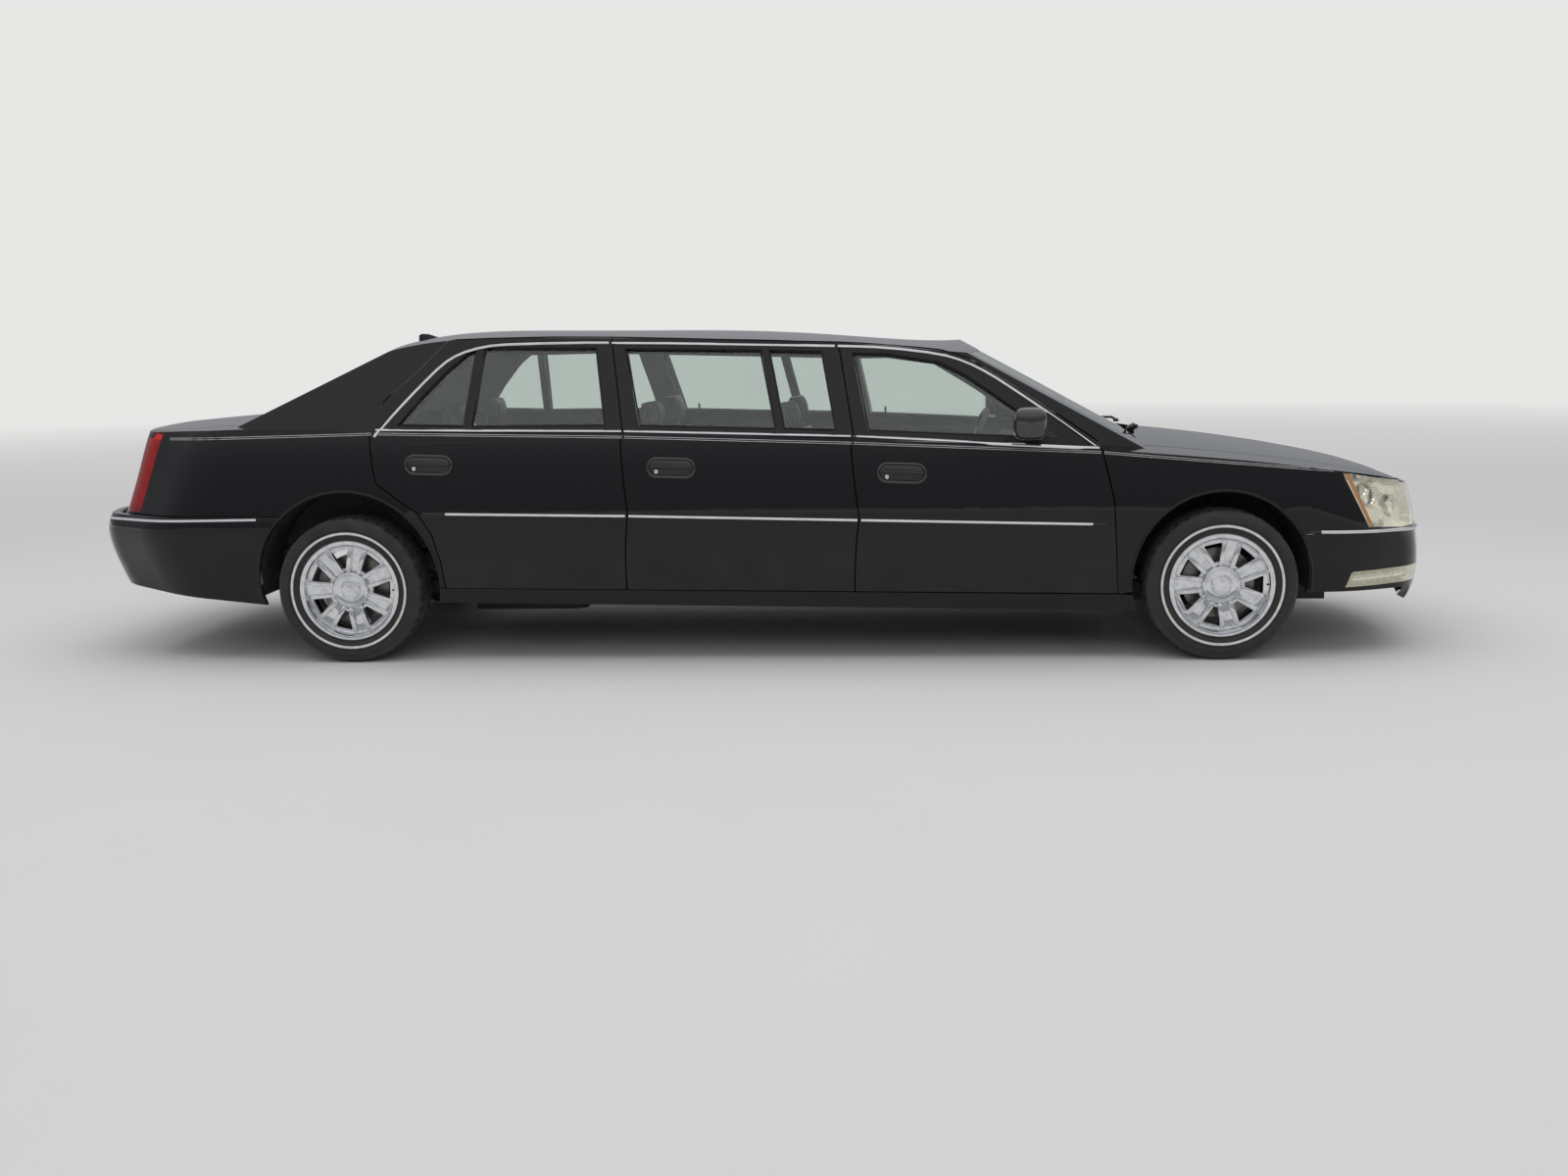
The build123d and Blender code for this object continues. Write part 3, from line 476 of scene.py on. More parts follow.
def along(line, start, end, step=0.06):
    """Points of a line x, z from start to end, about one step apart."""
    xs = [x for x, z in line if start < x < end]
    count = max(2, round((end - start) / step))
    xs += [start + (end - start) * index / count for index in range(count + 1)]
    points = []
    for x in sorted(set(round(value, 4) for value in xs)):
        for (x0, z0), (x1, z1) in zip(line, line[1:]):
            if x0 <= x <= x1 or (x < x0 and (x0, z0) == line[0]) or (x > x1 and (x1, z1) == line[-1]):
                points.append((x, z0 + (z1 - z0) * (x - x0) / (x1 - x0)))
                break
    return points


def smooth_line(line, rounds=2):
    """Corner-cut copy of a line, with its ends kept."""
    for _ in range(rounds):
        cut = [line[0]]
        for (x0, z0), (x1, z1) in zip(line, line[1:]):
            cut.append((x0 * 0.75 + x1 * 0.25, z0 * 0.75 + z1 * 0.25))
            cut.append((x0 * 0.25 + x1 * 0.75, z0 * 0.25 + z1 * 0.75))
        line = cut + [line[-1]]
    return line


def seated(points, lift=0.0, names=RIGHT_PANELS):
    """Points x, z put on the right-hand skin, or on the panels named, moved outwards by lift."""
    placed = []
    for x, z in points:
        y = side_hit(x, z, names)
        if y is not None:
            placed.append(Vector((x, y - lift, z)))
    return placed


def settle(piece, name, body, finish, smooth_angle=40.0):
    """Names a finished piece, puts its place in its mesh, gives it its finish and body."""
    pick(piece)
    bpy.ops.object.transform_apply(location=True, rotation=True, scale=True)
    piece.name = name
    piece.data.name = name
    piece.data.materials.clear()
    piece.data.materials.append(finish)
    bpy.ops.object.shade_smooth_by_angle(angle=math.radians(smooth_angle))
    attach(piece, body)


def bead(points, radius, closed=False, fineness=2):
    """A round bar along points, with more faces round it the higher its fineness."""
    deselect()
    bpy.ops.curve.primitive_nurbs_path_add(location=(0, 0, 0))
    rod = bpy.context.object
    rod.data.splines.clear()
    line = rod.data.splines.new("POLY")
    line.points.add(len(points) - 1)
    for knot, place in zip(line.points, points):
        knot.co = (*place, 1)
    line.use_cyclic_u = closed
    rod.data.bevel_depth = radius
    rod.data.bevel_resolution = fineness
    rod.data.use_fill_caps = not closed
    bpy.ops.object.convert(target="MESH")
    return bpy.context.object


def edit_all(operation, **settings):
    """Runs one mesh operator on the whole of the active piece."""
    bpy.ops.object.mode_set(mode="EDIT")
    bpy.ops.mesh.select_all(action="SELECT")
    operation(**settings)
    bpy.ops.object.mode_set(mode="OBJECT")


def copied(piece, placing=None):
    """A copy with its own mesh, moved by placing."""
    pick(piece)
    bpy.ops.object.duplicate()
    copy = bpy.context.object
    if placing:
        copy.data.transform(placing)
    return copy


def mirrored(piece):
    """A left-hand copy of a right-hand piece, with its own mesh."""
    twin = copied(piece, Matrix.Scale(-1, 4, Vector((0, 1, 0))))
    edit_all(bpy.ops.mesh.flip_normals)
    return twin


def both_sides(piece, name, body, finish, smooth_angle=40.0):
    """Settles a right-hand piece and its left-hand twin. A body name ending in _ takes the side's name."""
    for part, side_name in zip((piece, mirrored(piece)), SIDES):
        rides = body + side_name if body.endswith("_") else body
        settle(part, f"{name}_{side_name}", rides, finish, smooth_angle)


def modified(piece, kind, **settings):
    """Adds one modifier with its settings and applies it."""
    pick(piece)
    modifier = piece.modifiers.new(kind.title(), kind)
    for setting, value in settings.items():
        setattr(modifier, setting, value)
    bpy.ops.object.modifier_apply(modifier=modifier.name)
    return piece


def rounded_edges(piece, width, segments=3, angle=32.0):
    """Rounds the edges that turn by more than an angle in degrees."""
    return modified(piece, "BEVEL", width=width, segments=segments, limit_method="ANGLE",
                    angle_limit=math.radians(angle), use_clamp_overlap=True)


def slab(outline, depth, width=0.0, segments=2):
    """A prism: the outline's points, run along depth, with its edges rounded by width."""
    deselect()
    bpy.ops.mesh.primitive_circle_add(vertices=len(outline), radius=1, fill_type="NGON")
    piece = bpy.context.object
    for vertex, place in zip(piece.data.vertices, outline):
        vertex.co = place
    edit_all(bpy.ops.mesh.extrude_region_move, TRANSFORM_OT_translate={"value": tuple(depth)})
    edit_all(bpy.ops.mesh.normals_make_consistent, inside=False)
    return rounded_edges(piece, width, segments) if width else piece


def block(low, high, width=0.004, segments=3):
    """A box between two corners, with rounded edges."""
    (x0, y0, z0), (x1, y1, z1) = low, high
    return slab([(x0, y0, z0), (x1, y0, z0), (x1, y1, z0), (x0, y1, z0)], (0, 0, z1 - z0), width, segments)


def lathe(profile, steps):
    """A ring spun about the Y axis from a closed outline: radius, distance along the axis."""
    deselect()
    bpy.ops.mesh.primitive_circle_add(vertices=len(profile), radius=1)
    ring = bpy.context.object
    for vertex, (radius, offset) in zip(ring.data.vertices, profile):
        vertex.co = (0, offset, radius)
    edit_all(bpy.ops.mesh.spin, steps=steps, angle=math.tau, center=(0, 0, 0), axis=(0, 1, 0))
    edit_all(bpy.ops.mesh.remove_doubles, threshold=0.00005)
    edit_all(bpy.ops.mesh.normals_make_consistent, inside=False)
    return ring


def grid(rows):
    """An open sheet through rows of points."""
    deselect()
    bpy.ops.mesh.primitive_grid_add(x_subdivisions=len(rows[0]) - 1, y_subdivisions=len(rows) - 1)
    sheet = bpy.context.object
    for vertex, place in zip(sheet.data.vertices, [place for row in rows for place in row]):
        vertex.co = place
    return sheet


def closed_tube(rows):
    """A solid skin through closed rows of points, with flat ends. Each row ends on its first point."""
    tube = grid(rows)
    edit_all(bpy.ops.mesh.remove_doubles, threshold=0.0001)
    edit_all(bpy.ops.mesh.fill_holes, sides=0)
    edit_all(bpy.ops.mesh.normals_make_consistent, inside=False)
    return tube


def joined(pieces):
    """One piece of several, in the first one's object."""
    if len(pieces) == 1:
        return pieces[0]
    deselect()
    for piece in pieces:
        piece.select_set(True)
    bpy.context.view_layer.objects.active = pieces[0]
    bpy.ops.object.join()
    return bpy.context.object


def turned(angle, axis):
    """A turn by degrees about an axis through the origin."""
    return Matrix.Rotation(math.radians(angle), 4, axis)


def moved(x, y, z):
    return Matrix.Translation(Vector((x, y, z)))


def arc(radius, start, end, step):
    """Points u, v of an arc about the origin, in whole degrees from start up to but without end."""
    turns = [math.radians(angle) for angle in range(start, end, step)]
    return [(radius * math.cos(turn), radius * math.sin(turn)) for turn in turns]


def stadium(length, height, count=10):
    """Outline u, v of a slot with round ends."""
    radius = height / 2
    points = []
    for end, start in ((1, -math.pi / 2), (-1, math.pi / 2)):
        for index in range(count + 1):
            turn = start + math.pi * index / count
            points.append((end * (length / 2 - radius) + radius * math.cos(turn), radius * math.sin(turn)))
    return points


def rounded_corners(corners, count=5):
    """Outline of points u, v whose corners are arcs of their own radius."""
    points = []
    for index, (u, v, radius) in enumerate(corners):
        here = Vector((u, v))
        before = (Vector(corners[index - 1][:2]) - here).normalized()
        after = (Vector(corners[(index + 1) % len(corners)][:2]) - here).normalized()
        half = before.angle(after) / 2
        centre = here + (before + after).normalized() * (radius / math.sin(half))
        start = here + before * (radius / math.tan(half)) - centre
        end = here + after * (radius / math.tan(half)) - centre
        sweep = start.angle_signed(end)
        for step in range(count + 1):
            points.append(centre + Matrix.Rotation(-sweep * step / count, 2) @ start)
    return points


SIDE_LINES = [
    # name, its line, height off the skin, radius
    ("window_line", smooth_line(ROOF_LINE, 1), 0.001, 0.0060),
    ("belt_line", BELT_LINE, 0.002, 0.0078),
    ("rub_strip", RUB_LINE, 0.002, 0.0072),
]
PINSTRIPE_RISES = [("upper", 0.004), ("lower", -0.004)]
PINSTRIPE_RADIUS = 0.0014


def make_side_trim():
    """Bright window and belt lines, rub strips and pinstripes, one piece per panel."""
    for door, *spans in DOORS:
        for (name, line, lift, radius), span in zip(SIDE_LINES, spans):
            trim = bead(seated(along(line, *span), lift), radius)
            both_sides(trim, f"{door}_{name}", f"door_{door}_", CHROME)
    for number, (panel, start, end) in enumerate(PINSTRIPES):
        body = panel if panel == "body" else panel + "_"
        for name, rise in PINSTRIPE_RISES:
            points = [(x, z + rise) for x, z in along(PIN_LINE, start, end)]
            stripe = bead(seated(points), PINSTRIPE_RADIUS, fineness=0)
            both_sides(stripe, f"pinstripe_{number}_{name}", body, STRIPE)


TYRE_OUTLINE = [
    # radius, distance from the tyre's middle, from the bead over the shoulder to the tread's middle
    (0.2195, 0.0950), (0.2240, 0.1010), (0.2330, 0.1030), (0.2420, 0.1010), (0.2500, 0.1055),
    (0.2590, 0.1105), (0.2640, 0.1125), (0.2780, 0.1150), (0.2800, 0.1130), (0.2830, 0.1130),
    (0.2850, 0.1160), (0.2980, 0.1172), (0.3100, 0.1150), (0.3190, 0.1100), (0.3215, 0.1110),
    (0.3290, 0.1040), (0.3340, 0.0960), (0.3372, 0.0850), (0.3385, 0.0690), (0.3300, 0.0680),
    (0.3300, 0.0590), (0.3392, 0.0580), (0.3398, 0.0300), (0.3310, 0.0290), (0.3310, 0.0200),
    (0.3400, 0.0190),
]
TREAD_STEPS = 120
TREAD_RADIUS = 0.3315
MIDDLE_RIB = 0.031
GROOVE_DEPTH = 0.0055
BAND_RADIUS = 0.2680
BAND_THICKNESS = 0.0062
BAND_FLATNESS = 0.35
BAND_OUT = 0.1128


def make_tyres():
    """A detailed tyre spun once about its axle and copied to each corner, with its white band."""
    outline = TYRE_OUTLINE + [(radius, -offset) for radius, offset in reversed(TYRE_OUTLINE)]
    tyre = lathe(outline, TREAD_STEPS)
    edit_all(bpy.ops.mesh.select_all, action="DESELECT")
    for face in tyre.data.polygons:
        middle = face.center
        on_tread = math.hypot(middle.x, middle.z) > TREAD_RADIUS and abs(middle.y) > MIDDLE_RIB
        turn = math.atan2(middle.z, middle.x)
        step = math.floor((turn + math.pi) / math.tau * TREAD_STEPS + 0.01)
        face.select = on_tread and step % 3 == 0
    bpy.ops.object.mode_set(mode="EDIT")
    bpy.ops.mesh.select_mode(type="FACE")
    bpy.ops.mesh.extrude_region_shrink_fatten(TRANSFORM_OT_shrink_fatten={"value": -GROOVE_DEPTH})
    bpy.ops.object.mode_set(mode="OBJECT")
    for corner, axle, side in WHEELS:
        copy = copied(tyre, moved(axle, side * wheel_y, tyre_radius))
        settle(copy, f"road_tyre_{corner}", f"wheel_{corner}", RUBBER, 32.0)
        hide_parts(f"tyre_{corner}")
        deselect()
        bpy.ops.mesh.primitive_torus_add(
            major_radius=BAND_RADIUS, minor_radius=BAND_THICKNESS, major_segments=120, minor_segments=10,
            rotation=(math.pi / 2, 0, 0))
        band = bpy.context.object
        bpy.ops.object.transform_apply(location=True, rotation=True, scale=True)
        band.data.transform(Matrix.Diagonal(Vector((1, BAND_FLATNESS, 1, 1))))
        band.data.transform(moved(axle, side * (wheel_y + BAND_OUT), tyre_radius))
        settle(band, f"white_band_{corner}", f"wheel_{corner}", WHITE_BAND)
    bpy.data.objects.remove(tyre)


# Outlines of the wheel: radius, distance outwards from its middle
RIM_OUTLINE = [
    (0.2330, 0.1030), (0.2330, 0.0960), (0.2180, 0.0960), (0.2180, 0.0580), (0.1990, 0.0440),
    (0.1990, -0.0220), (0.2180, -0.0460), (0.2180, -0.0960), (0.2330, -0.0960), (0.2330, -0.1030),
    (0.2140, -0.1030), (0.2100, -0.0960), (0.2100, -0.0500), (0.1900, -0.0260), (0.1900, 0.0500),
    (0.2000, 0.0640), (0.2090, 0.0740), (0.2105, 0.0960), (0.2140, 0.1010), (0.2240, 0.1045),
]
DISC_OUTLINE = [
    (0.0300, -0.0340), (0.0580, -0.0340), (0.0580, 0.0280), (0.0920, 0.0500), (0.1500, 0.0600),
    (0.1960, 0.0560), (0.2120, 0.0740), (0.2120, 0.0790), (0.2040, 0.0800), (0.1960, 0.0755),
    (0.1500, 0.0755), (0.0900, 0.0740), (0.0890, 0.0680), (0.0835, 0.0680), (0.0835, 0.0860),
    (0.0820, 0.0895), (0.0780, 0.0915), (0.0720, 0.0895), (0.0700, 0.0870), (0.0480, 0.0835),
    (0.0460, 0.0850), (0.0455, 0.0890), (0.0435, 0.0910), (0.0400, 0.0915), (0.0375, 0.0900),
    (0.0370, 0.0885), (0.0200, 0.0905), (0.0, 0.0912), (0.0, 0.0580), (0.0300, 0.0580),
]
RIB_OUTLINE = [
    (0.080, 0.060), (0.080, 0.0845), (0.098, 0.0915), (0.150, 0.0915), (0.190, 0.0860), (0.207, 0.0780),
    (0.207, 0.060),
]
ROTOR_OUTLINE = [
    (0.0600, 0.012), (0.1600, 0.012), (0.1600, 0.003), (0.1420, 0.003), (0.1420, -0.003),
    (0.1600, -0.003), (0.1600, -0.012), (0.0600, -0.012),
]
WINDOW_CORNERS = [
    # distance from the axle, distance from the spoke's middle, rounding
    (0.104, -0.0185, 0.009), (0.186, -0.0520, 0.014), (0.186, 0.0520, 0.014), (0.104, 0.0185, 0.009),
]
SPOKES = 7
WHEEL_STEPS = 140
RIB_WIDTH = 0.021
RIB_SPREAD = 0.0170
RIB_LEAN = 5.0
VALVE_DISTANCE = 0.203
VALVE_RADIUS = 0.004


def make_wheels():
    """A plated wheel with seven windows and twin ribs on each spoke, made once and copied to the corners."""
    rim = lathe([(radius, -offset) for radius, offset in RIM_OUTLINE], WHEEL_STEPS)
    disc = lathe([(radius, -offset) for radius, offset in DISC_OUTLINE], WHEEL_STEPS)
    cutter = slab([(u, -0.150, v) for u, v in rounded_corners(WINDOW_CORNERS)], (0, 0.140, 0))
    cutters = [copied(cutter, turned(360 / SPOKES * number, "Y")) for number in range(1, SPOKES)]
    cutter = joined([cutter] + cutters)
    modified(disc, "BOOLEAN", object=cutter, operation="DIFFERENCE", solver="EXACT")
    bpy.data.objects.remove(cutter)
    rib_side = [(radius, -offset, -RIB_WIDTH / 2) for radius, offset in RIB_OUTLINE]
    rib = slab(rib_side, (0, 0, RIB_WIDTH), 0.0035, 3)
    ribs = []
    for spoke in range(SPOKES):
        for lean in (-1, 1):
            placing = turned(360 / SPOKES * (spoke + 0.5), "Y") @ moved(0, 0, lean * RIB_SPREAD)
            ribs.append(copied(rib, placing @ turned(-lean * RIB_LEAN, "Y")))
    bpy.data.objects.remove(rib)
    rounded_edges(disc, 0.0022, 2, 38)
    wheel = joined([disc, rim] + ribs)
    rotor = lathe(ROTOR_OUTLINE, 96)
    stem = [(VALVE_DISTANCE + u, -0.060, v) for u, v in arc(VALVE_RADIUS, 0, 360, 36)]
    valve = slab(stem, (0, -0.034, 0), 0.0008, 1)
    shoe = arc(0.172, 130, 192, 6) + arc(0.108, 186, 126, -10)
    caliper = slab([(u, 0.036, v) for u, v in shoe], (0, -0.076, 0), 0.006, 2)
    for corner, axle, side in WHEELS:
        spinning = f"wheel_{corner}"
        standing = "knuckle_" + SIDES[side > 0] if corner[0] == "f" else "body"
        for part, name, body, finish, slot in (
                (wheel, "plated_wheel", spinning, WHEEL, "chrome"),
                (rotor, "brake_disc", spinning, ROTOR, "chassis_steel"),
                (valve, "tyre_valve", spinning, SEAL, "trim_black"),
                (caliper, "brake_caliper", standing, CAST, "chassis_steel")):
            copy = copied(part) if side < 0 else mirrored(part)
            copy.data.transform(moved(axle, side * wheel_y, tyre_radius))
            settle(copy, f"{name}_{corner}", body, finish, 32.0)
            if part is wheel:
                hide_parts(f"wheel_{corner}")
    for part in (wheel, rotor, valve, caliper):
        bpy.data.objects.remove(part)


def level(line, x):
    """Height of a line of points x, z at x, carried on past its ends."""
    spans = list(zip(line, line[1:]))
    nearest = spans[0] if abs(x) < abs(line[0][0]) else spans[-1]
    over = [(a, b) for a, b in spans if min(a[0], b[0]) <= x <= max(a[0], b[0])]
    (x0, z0), (x1, z1) = over[0] if over else nearest
    return z0 + (z1 - z0) * (x - x0) / (x1 - x0)


def outermost(names, origin, ray):
    """Where a ray from far outside first meets the nodes named, or None."""
    found = None
    for name in names:
        struck, place, normal, face = panels[name].ray_cast(origin, ray)
        if struck and (found is None or (place - origin).length < (found - origin).length):
            found = place
    return found


CAR_END = 3.05
CLEAR_OF_ENDS = 3.6


def wrap(centre, low, high, end_y, nodes, rows, count, inset=0.0, start_inset=0.0):
    """Rows of places and inward directions round a corner of the right-hand skin, between two lines x, z.

    Each row runs from the lines' first points, on the side, to end_y on the nose or tail."""
    away = math.copysign(1, centre.x)
    wrapped = []
    for number in range(rows + 1):
        rise = inset + (1 - 2 * inset) * number / max(1, rows)
        start = low[0][0] + (high[0][0] - low[0][0]) * rise + away * start_inset

        def height(x):
            return level(low, x) + (level(high, x) - level(low, x)) * rise

        side_y = side_hit(start, height(start), nodes)
        beyond = Vector((away * CLEAR_OF_ENDS, end_y, height(away * CAR_END)))
        nose = outermost(nodes, beyond, Vector((-away, 0, 0)))
        first = math.atan2(side_y - centre.y, start - centre.x)
        last = math.atan2(end_y - centre.y, nose.x - centre.x)
        if away < 0 < last:
            last -= math.tau
        row = []
        for step in range(count + 1):
            bearing = first + (last - first) * step / count
            out = Vector((math.cos(bearing), math.sin(bearing), 0))
            x = row[-1][0].x if row else start
            # the height depends on where the ray lands, so it is sought three times
            for _ in range(3):
                place = outermost(nodes, Vector((centre.x, centre.y, height(x))) + out * 2, -out)
                x = place.x if place else x
            row.append((place or row[-1][0], -out))
        wrapped.append(row)
    return wrapped


def sunk(rows, depth_at):
    """The places of wrap rows moved inwards: depth_at(u, v) with u along the row and v from row to row."""
    across = len(rows[0]) - 1
    up = len(rows) - 1
    return [
        [place + inward * depth_at(step / across, number / up) for step, (place, inward) in enumerate(row)]
        for number, row in enumerate(rows)]


def shell(sheet, thickness):
    """Gives a sheet a wall about its middle."""
    return modified(sheet, "SOLIDIFY", thickness=thickness, offset=0.0)


FRONT_TURN = Vector((2.50, -0.35, 0))
REAR_TURN = Vector((-2.50, -0.35, 0))
HEAD_ROWS = 22
HEAD_STEPS = 40
BOWLS = [
    # place along the lamp, place up the lamp, radius, as shares of the lamp
    (0.30, 0.60, 0.27), (0.58, 0.42, 0.27),
]
LAMP_ASPECT = 0.62
BULB_DEPTH = 0.066
RING_OUTLINE = [(0.040, 0.0), (0.040, -0.012), (0.036, -0.016), (0.032, -0.012), (0.032, 0.0)]
DOME_OUTLINE = [
    (0.031, 0.0), (0.030, -0.008), (0.023, -0.016), (0.012, -0.020), (0.0, -0.021), (0.0, 0.0),
]


def headlamp_depth(u, v):
    """Depth of the headlamp's reflector: a tray with a round bowl for each bulb."""
    rim = min(u * 1.6, (1 - u) * 1.6, v * 0.6, (1 - v) * 0.6)
    depth = 0.005 + 0.045 * min(1, rim / 0.07)
    for bowl_u, bowl_v, size in BOWLS:
        spread = math.hypot((u - bowl_u), (v - bowl_v) * LAMP_ASPECT) / (size * LAMP_ASPECT)
        depth += 0.040 * max(0, 1 - spread * spread)
    return depth


def low_lamp_depth(u, v):
    return 0.005 + 0.040 * min(1, 9 * u, 9 * (1 - u), 3 * v, 3 * (1 - v))


def tail_lamp_depth(u, v):
    """The red back's six ribs."""
    return 0.044 + 0.003 * math.cos(v * math.tau * 6)


def lamp_sheet(rows, depth_at, thickness, name, finish):
    sheet = shell(grid(sunk(rows, depth_at)), thickness)
    both_sides(sheet, name, "body", finish, 30.0)


def make_lamps():
    """Clear lenses with their reflectors, bulbs and amber strip, and the red tail lamps."""
    lamp = ["front_lamps"]
    head = wrap(FRONT_TURN, HEADLAMP_LOW, HEADLAMP_HIGH, -0.546, lamp, HEAD_ROWS, HEAD_STEPS, 0.012, 0.003)
    lamp_sheet(head, headlamp_depth, 0.001, "headlamp_reflector", REFLECTOR)
    strip = [row[1:4] for row in head]
    lamp_sheet(strip, lambda u, v: 0.0065, 0.002, "amber_strip", AMBER)
    for number, (u, v, size) in enumerate(BOWLS):
        place, inward = head[round(v * HEAD_ROWS)][round(u * HEAD_STEPS)]
        ring = lathe(RING_OUTLINE, 48)
        dome = lathe(DOME_OUTLINE, 40)
        aim = Vector((0, 1, 0)).rotation_difference(inward).to_matrix().to_4x4()
        placing = Matrix.Translation(place + inward * BULB_DEPTH) @ aim
        for part, name, finish, slot in ((ring, "ring", CHROME, "chrome"), (dome, "lens", LENS, "lamp_lens")):
            part.data.transform(placing)
            both_sides(part, f"headlamp_{name}_{number}", "body", finish, 35.0)
    low = wrap(FRONT_TURN, LOW_LAMP_LOW, LOW_LAMP_HIGH, -0.566, lamp, 10, 40, 0.02, 0.003)
    lamp_sheet(low, low_lamp_depth, 0.001, "lower_lamp_reflector", REFLECTOR)
    tail = wrap(REAR_TURN, TAIL_LAMP_LOW, TAIL_LAMP_HIGH, -0.630, ["tail_lamps"], 26, 24, 0.006, 0.012)
    lamp_sheet(tail, tail_lamp_depth, 0.001, "tail_lamp_back", RED_BACK)
    covers = [shell(grid(sunk(rows, lambda u, v: 0.002)), 0.004) for rows in (head, low)]
    covers += [mirrored(cover) for cover in covers]
    cover = joined(covers)
    settle(cover, "headlamp_lenses", "body", LENS, 30.0)
    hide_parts("front_lamps")


HANDLE_TILT = 2.2
BARREL_OUTLINE = [(0.0, 0.0), (0.0088, 0.0), (0.0088, -0.0048), (0.0075, -0.0056), (0.0, -0.0056)]


def make_handles():
    """Each door's oval bezel, its sunk dish, the flap in its upper half and the lock's barrel."""
    for door, x, z in HANDLES:
        rise = 0.04
        shift = side_hit(x, z + rise, RIGHT_PANELS) - side_hit(x, z - rise, RIGHT_PANELS)
        lean = math.degrees(math.atan2(shift, 2 * rise))
        place = moved(x, side_hit(x, z, RIGHT_PANELS), z)
        placing = place @ turned(-lean, "X") @ turned(HANDLE_TILT, "Y")

        def fit(part, name, finish, smooth_angle=50.0):
            part.data.transform(placing)
            both_sides(part, f"{door}_handle_{name}", f"door_{door}_", finish, smooth_angle)

        edge = [Vector((u, -0.001, v)) for u, v in stadium(0.212, 0.082)]
        fit(bead(edge, 0.0068, closed=True, fineness=4), "bezel", HANDLE)
        dish = [(u, 0.001, v) for u, v in stadium(0.206, 0.076)]
        fit(slab(dish, (0, -0.0022, 0), 0.0006, 1), "dish", BLACK_TRIM)
        flap = [(u, 0.0, v) for u, v in stadium(0.196, 0.066) if v > -0.004]
        fit(slab(flap, (0, -0.0095, 0), 0.0042, 4), "flap", HANDLE)
        barrel = lathe(BARREL_OUTLINE, 24)
        barrel.data.transform(moved(-0.066, 0, -0.019))
        fit(barrel, "lock", CHROME, 40.0)


SEAL_INSET = 0.006
SEAL_STEP = 0.05
SEAL_RADIUS = 0.0042


def make_seals():
    """Rubber round each pane."""
    for door, outlines in WINDOWS.items():
        for number, outline in enumerate(outlines):
            corners = [Vector(point) for point in outline]
            middle = sum(corners, Vector((0, 0))) / len(corners)
            inset = [point + (middle - point).normalized() * SEAL_INSET for point in corners]
            fine = []
            for start, end in zip(inset, inset[1:] + inset[:1]):
                steps = max(2, round((end - start).length / SEAL_STEP))
                fine += [start.lerp(end, step / steps) for step in range(steps)]
            points = seated(fine, 0.001, [f"glass_{door}_right"])
            seal = bead(points, SEAL_RADIUS, closed=True)
            both_sides(seal, f"{door}_glass_seal_{number}", f"door_{door}_", SEAL)


ARCHES = [
    # name, middle x, z, radius, distance out of the inner wall, its lower edge
    ("front", 2.118, 0.368, 0.392, 0.465, 0.36), ("rear", -1.852, 0.372, 0.425, 0.610, 0.50),
]
ARCH_SWEEP = (-8, 189, 4)
LINER_OUT = 0.896
LINER_MIDDLE = 0.75


def make_arches():
    """Painted lips round the wheel arches and the liners behind them."""
    for name, x, z, radius, inner, low in ARCHES:
        edge = [(x + u, z + v) for u, v in arc(radius + 0.007, *ARCH_SWEEP)]
        lip = bead(seated(edge, -0.002), 0.0065, fineness=3)
        both_sides(lip, f"{name}_arch_lip", "body", PAINT, 50.0)
        ring = [(x + u, z + v) for u, v in arc(radius + 0.012, *ARCH_SWEEP)]
        rows = [[Vector((u, -out, v)) for u, v in ring] for out in (LINER_OUT, LINER_MIDDLE, inner)]
        both_sides(shell(grid(rows), 0.004), f"{name}_arch_liner", "body", UNDERSEAL)
        wall = slab([(u, -inner, v) for u, v in ring if v > low], (0, 0.004, 0))
        both_sides(wall, f"{name}_arch_wall", "body", UNDERSEAL)


BUMPER_STRIPS = [
    # name, middle of its turn, its line x, z, its end on the nose or tail, what it lies on, radius
    ("front", Vector((2.45, -0.35, 0)), [(2.545, 0.577), (3.150, 0.560)], -0.58,
     ["front_bumper", "front_fenders"], 0.0085),
    ("rear", Vector((-2.45, -0.35, 0)), [(-2.262, 0.678), (-3.150, 0.668)], -0.70, ["rear_bumper"], 0.0065),
]
STRIP_LIFT = 0.003
FRONT_TIP = [(2.548, 0.577), (2.520, 0.577), (2.490, 0.577)]
RUB_TIPS = [
    # door, ends of its tip x, z
    ("rear", (-1.480, 0.701), (-1.372, 0.698)), ("front", (1.542, 0.627), (1.600, 0.625)),
]


def make_mouldings():
    """Bright strips on the bumpers, with dark tips, and the dark ends of the rub strips."""
    for name, centre, line, end_y, nodes, radius in BUMPER_STRIPS:
        row = wrap(centre, line, line, end_y, nodes, 0, 44)[0]
        strip = bead([place - inward * STRIP_LIFT for place, inward in row], radius, fineness=3)
        both_sides(strip, f"{name}_bumper_strip", "body", CHROME, 50.0)
    tip = bead(seated(FRONT_TIP, 0.001), 0.006, fineness=3)
    both_sides(tip, "front_bumper_strip_tip", "body", BLACK_TRIM, 50.0)
    for door, (x0, z0), (x1, z1) in RUB_TIPS:
        points = [(x0 + (x1 - x0) * step / 4, z0 + (z1 - z0) * step / 4) for step in range(5)]
        tip = bead(seated(points, 0.001), 0.0055, fineness=3)
        both_sides(tip, f"{door}_rub_strip_tip", f"door_{door}_", BLACK_TRIM, 50.0)


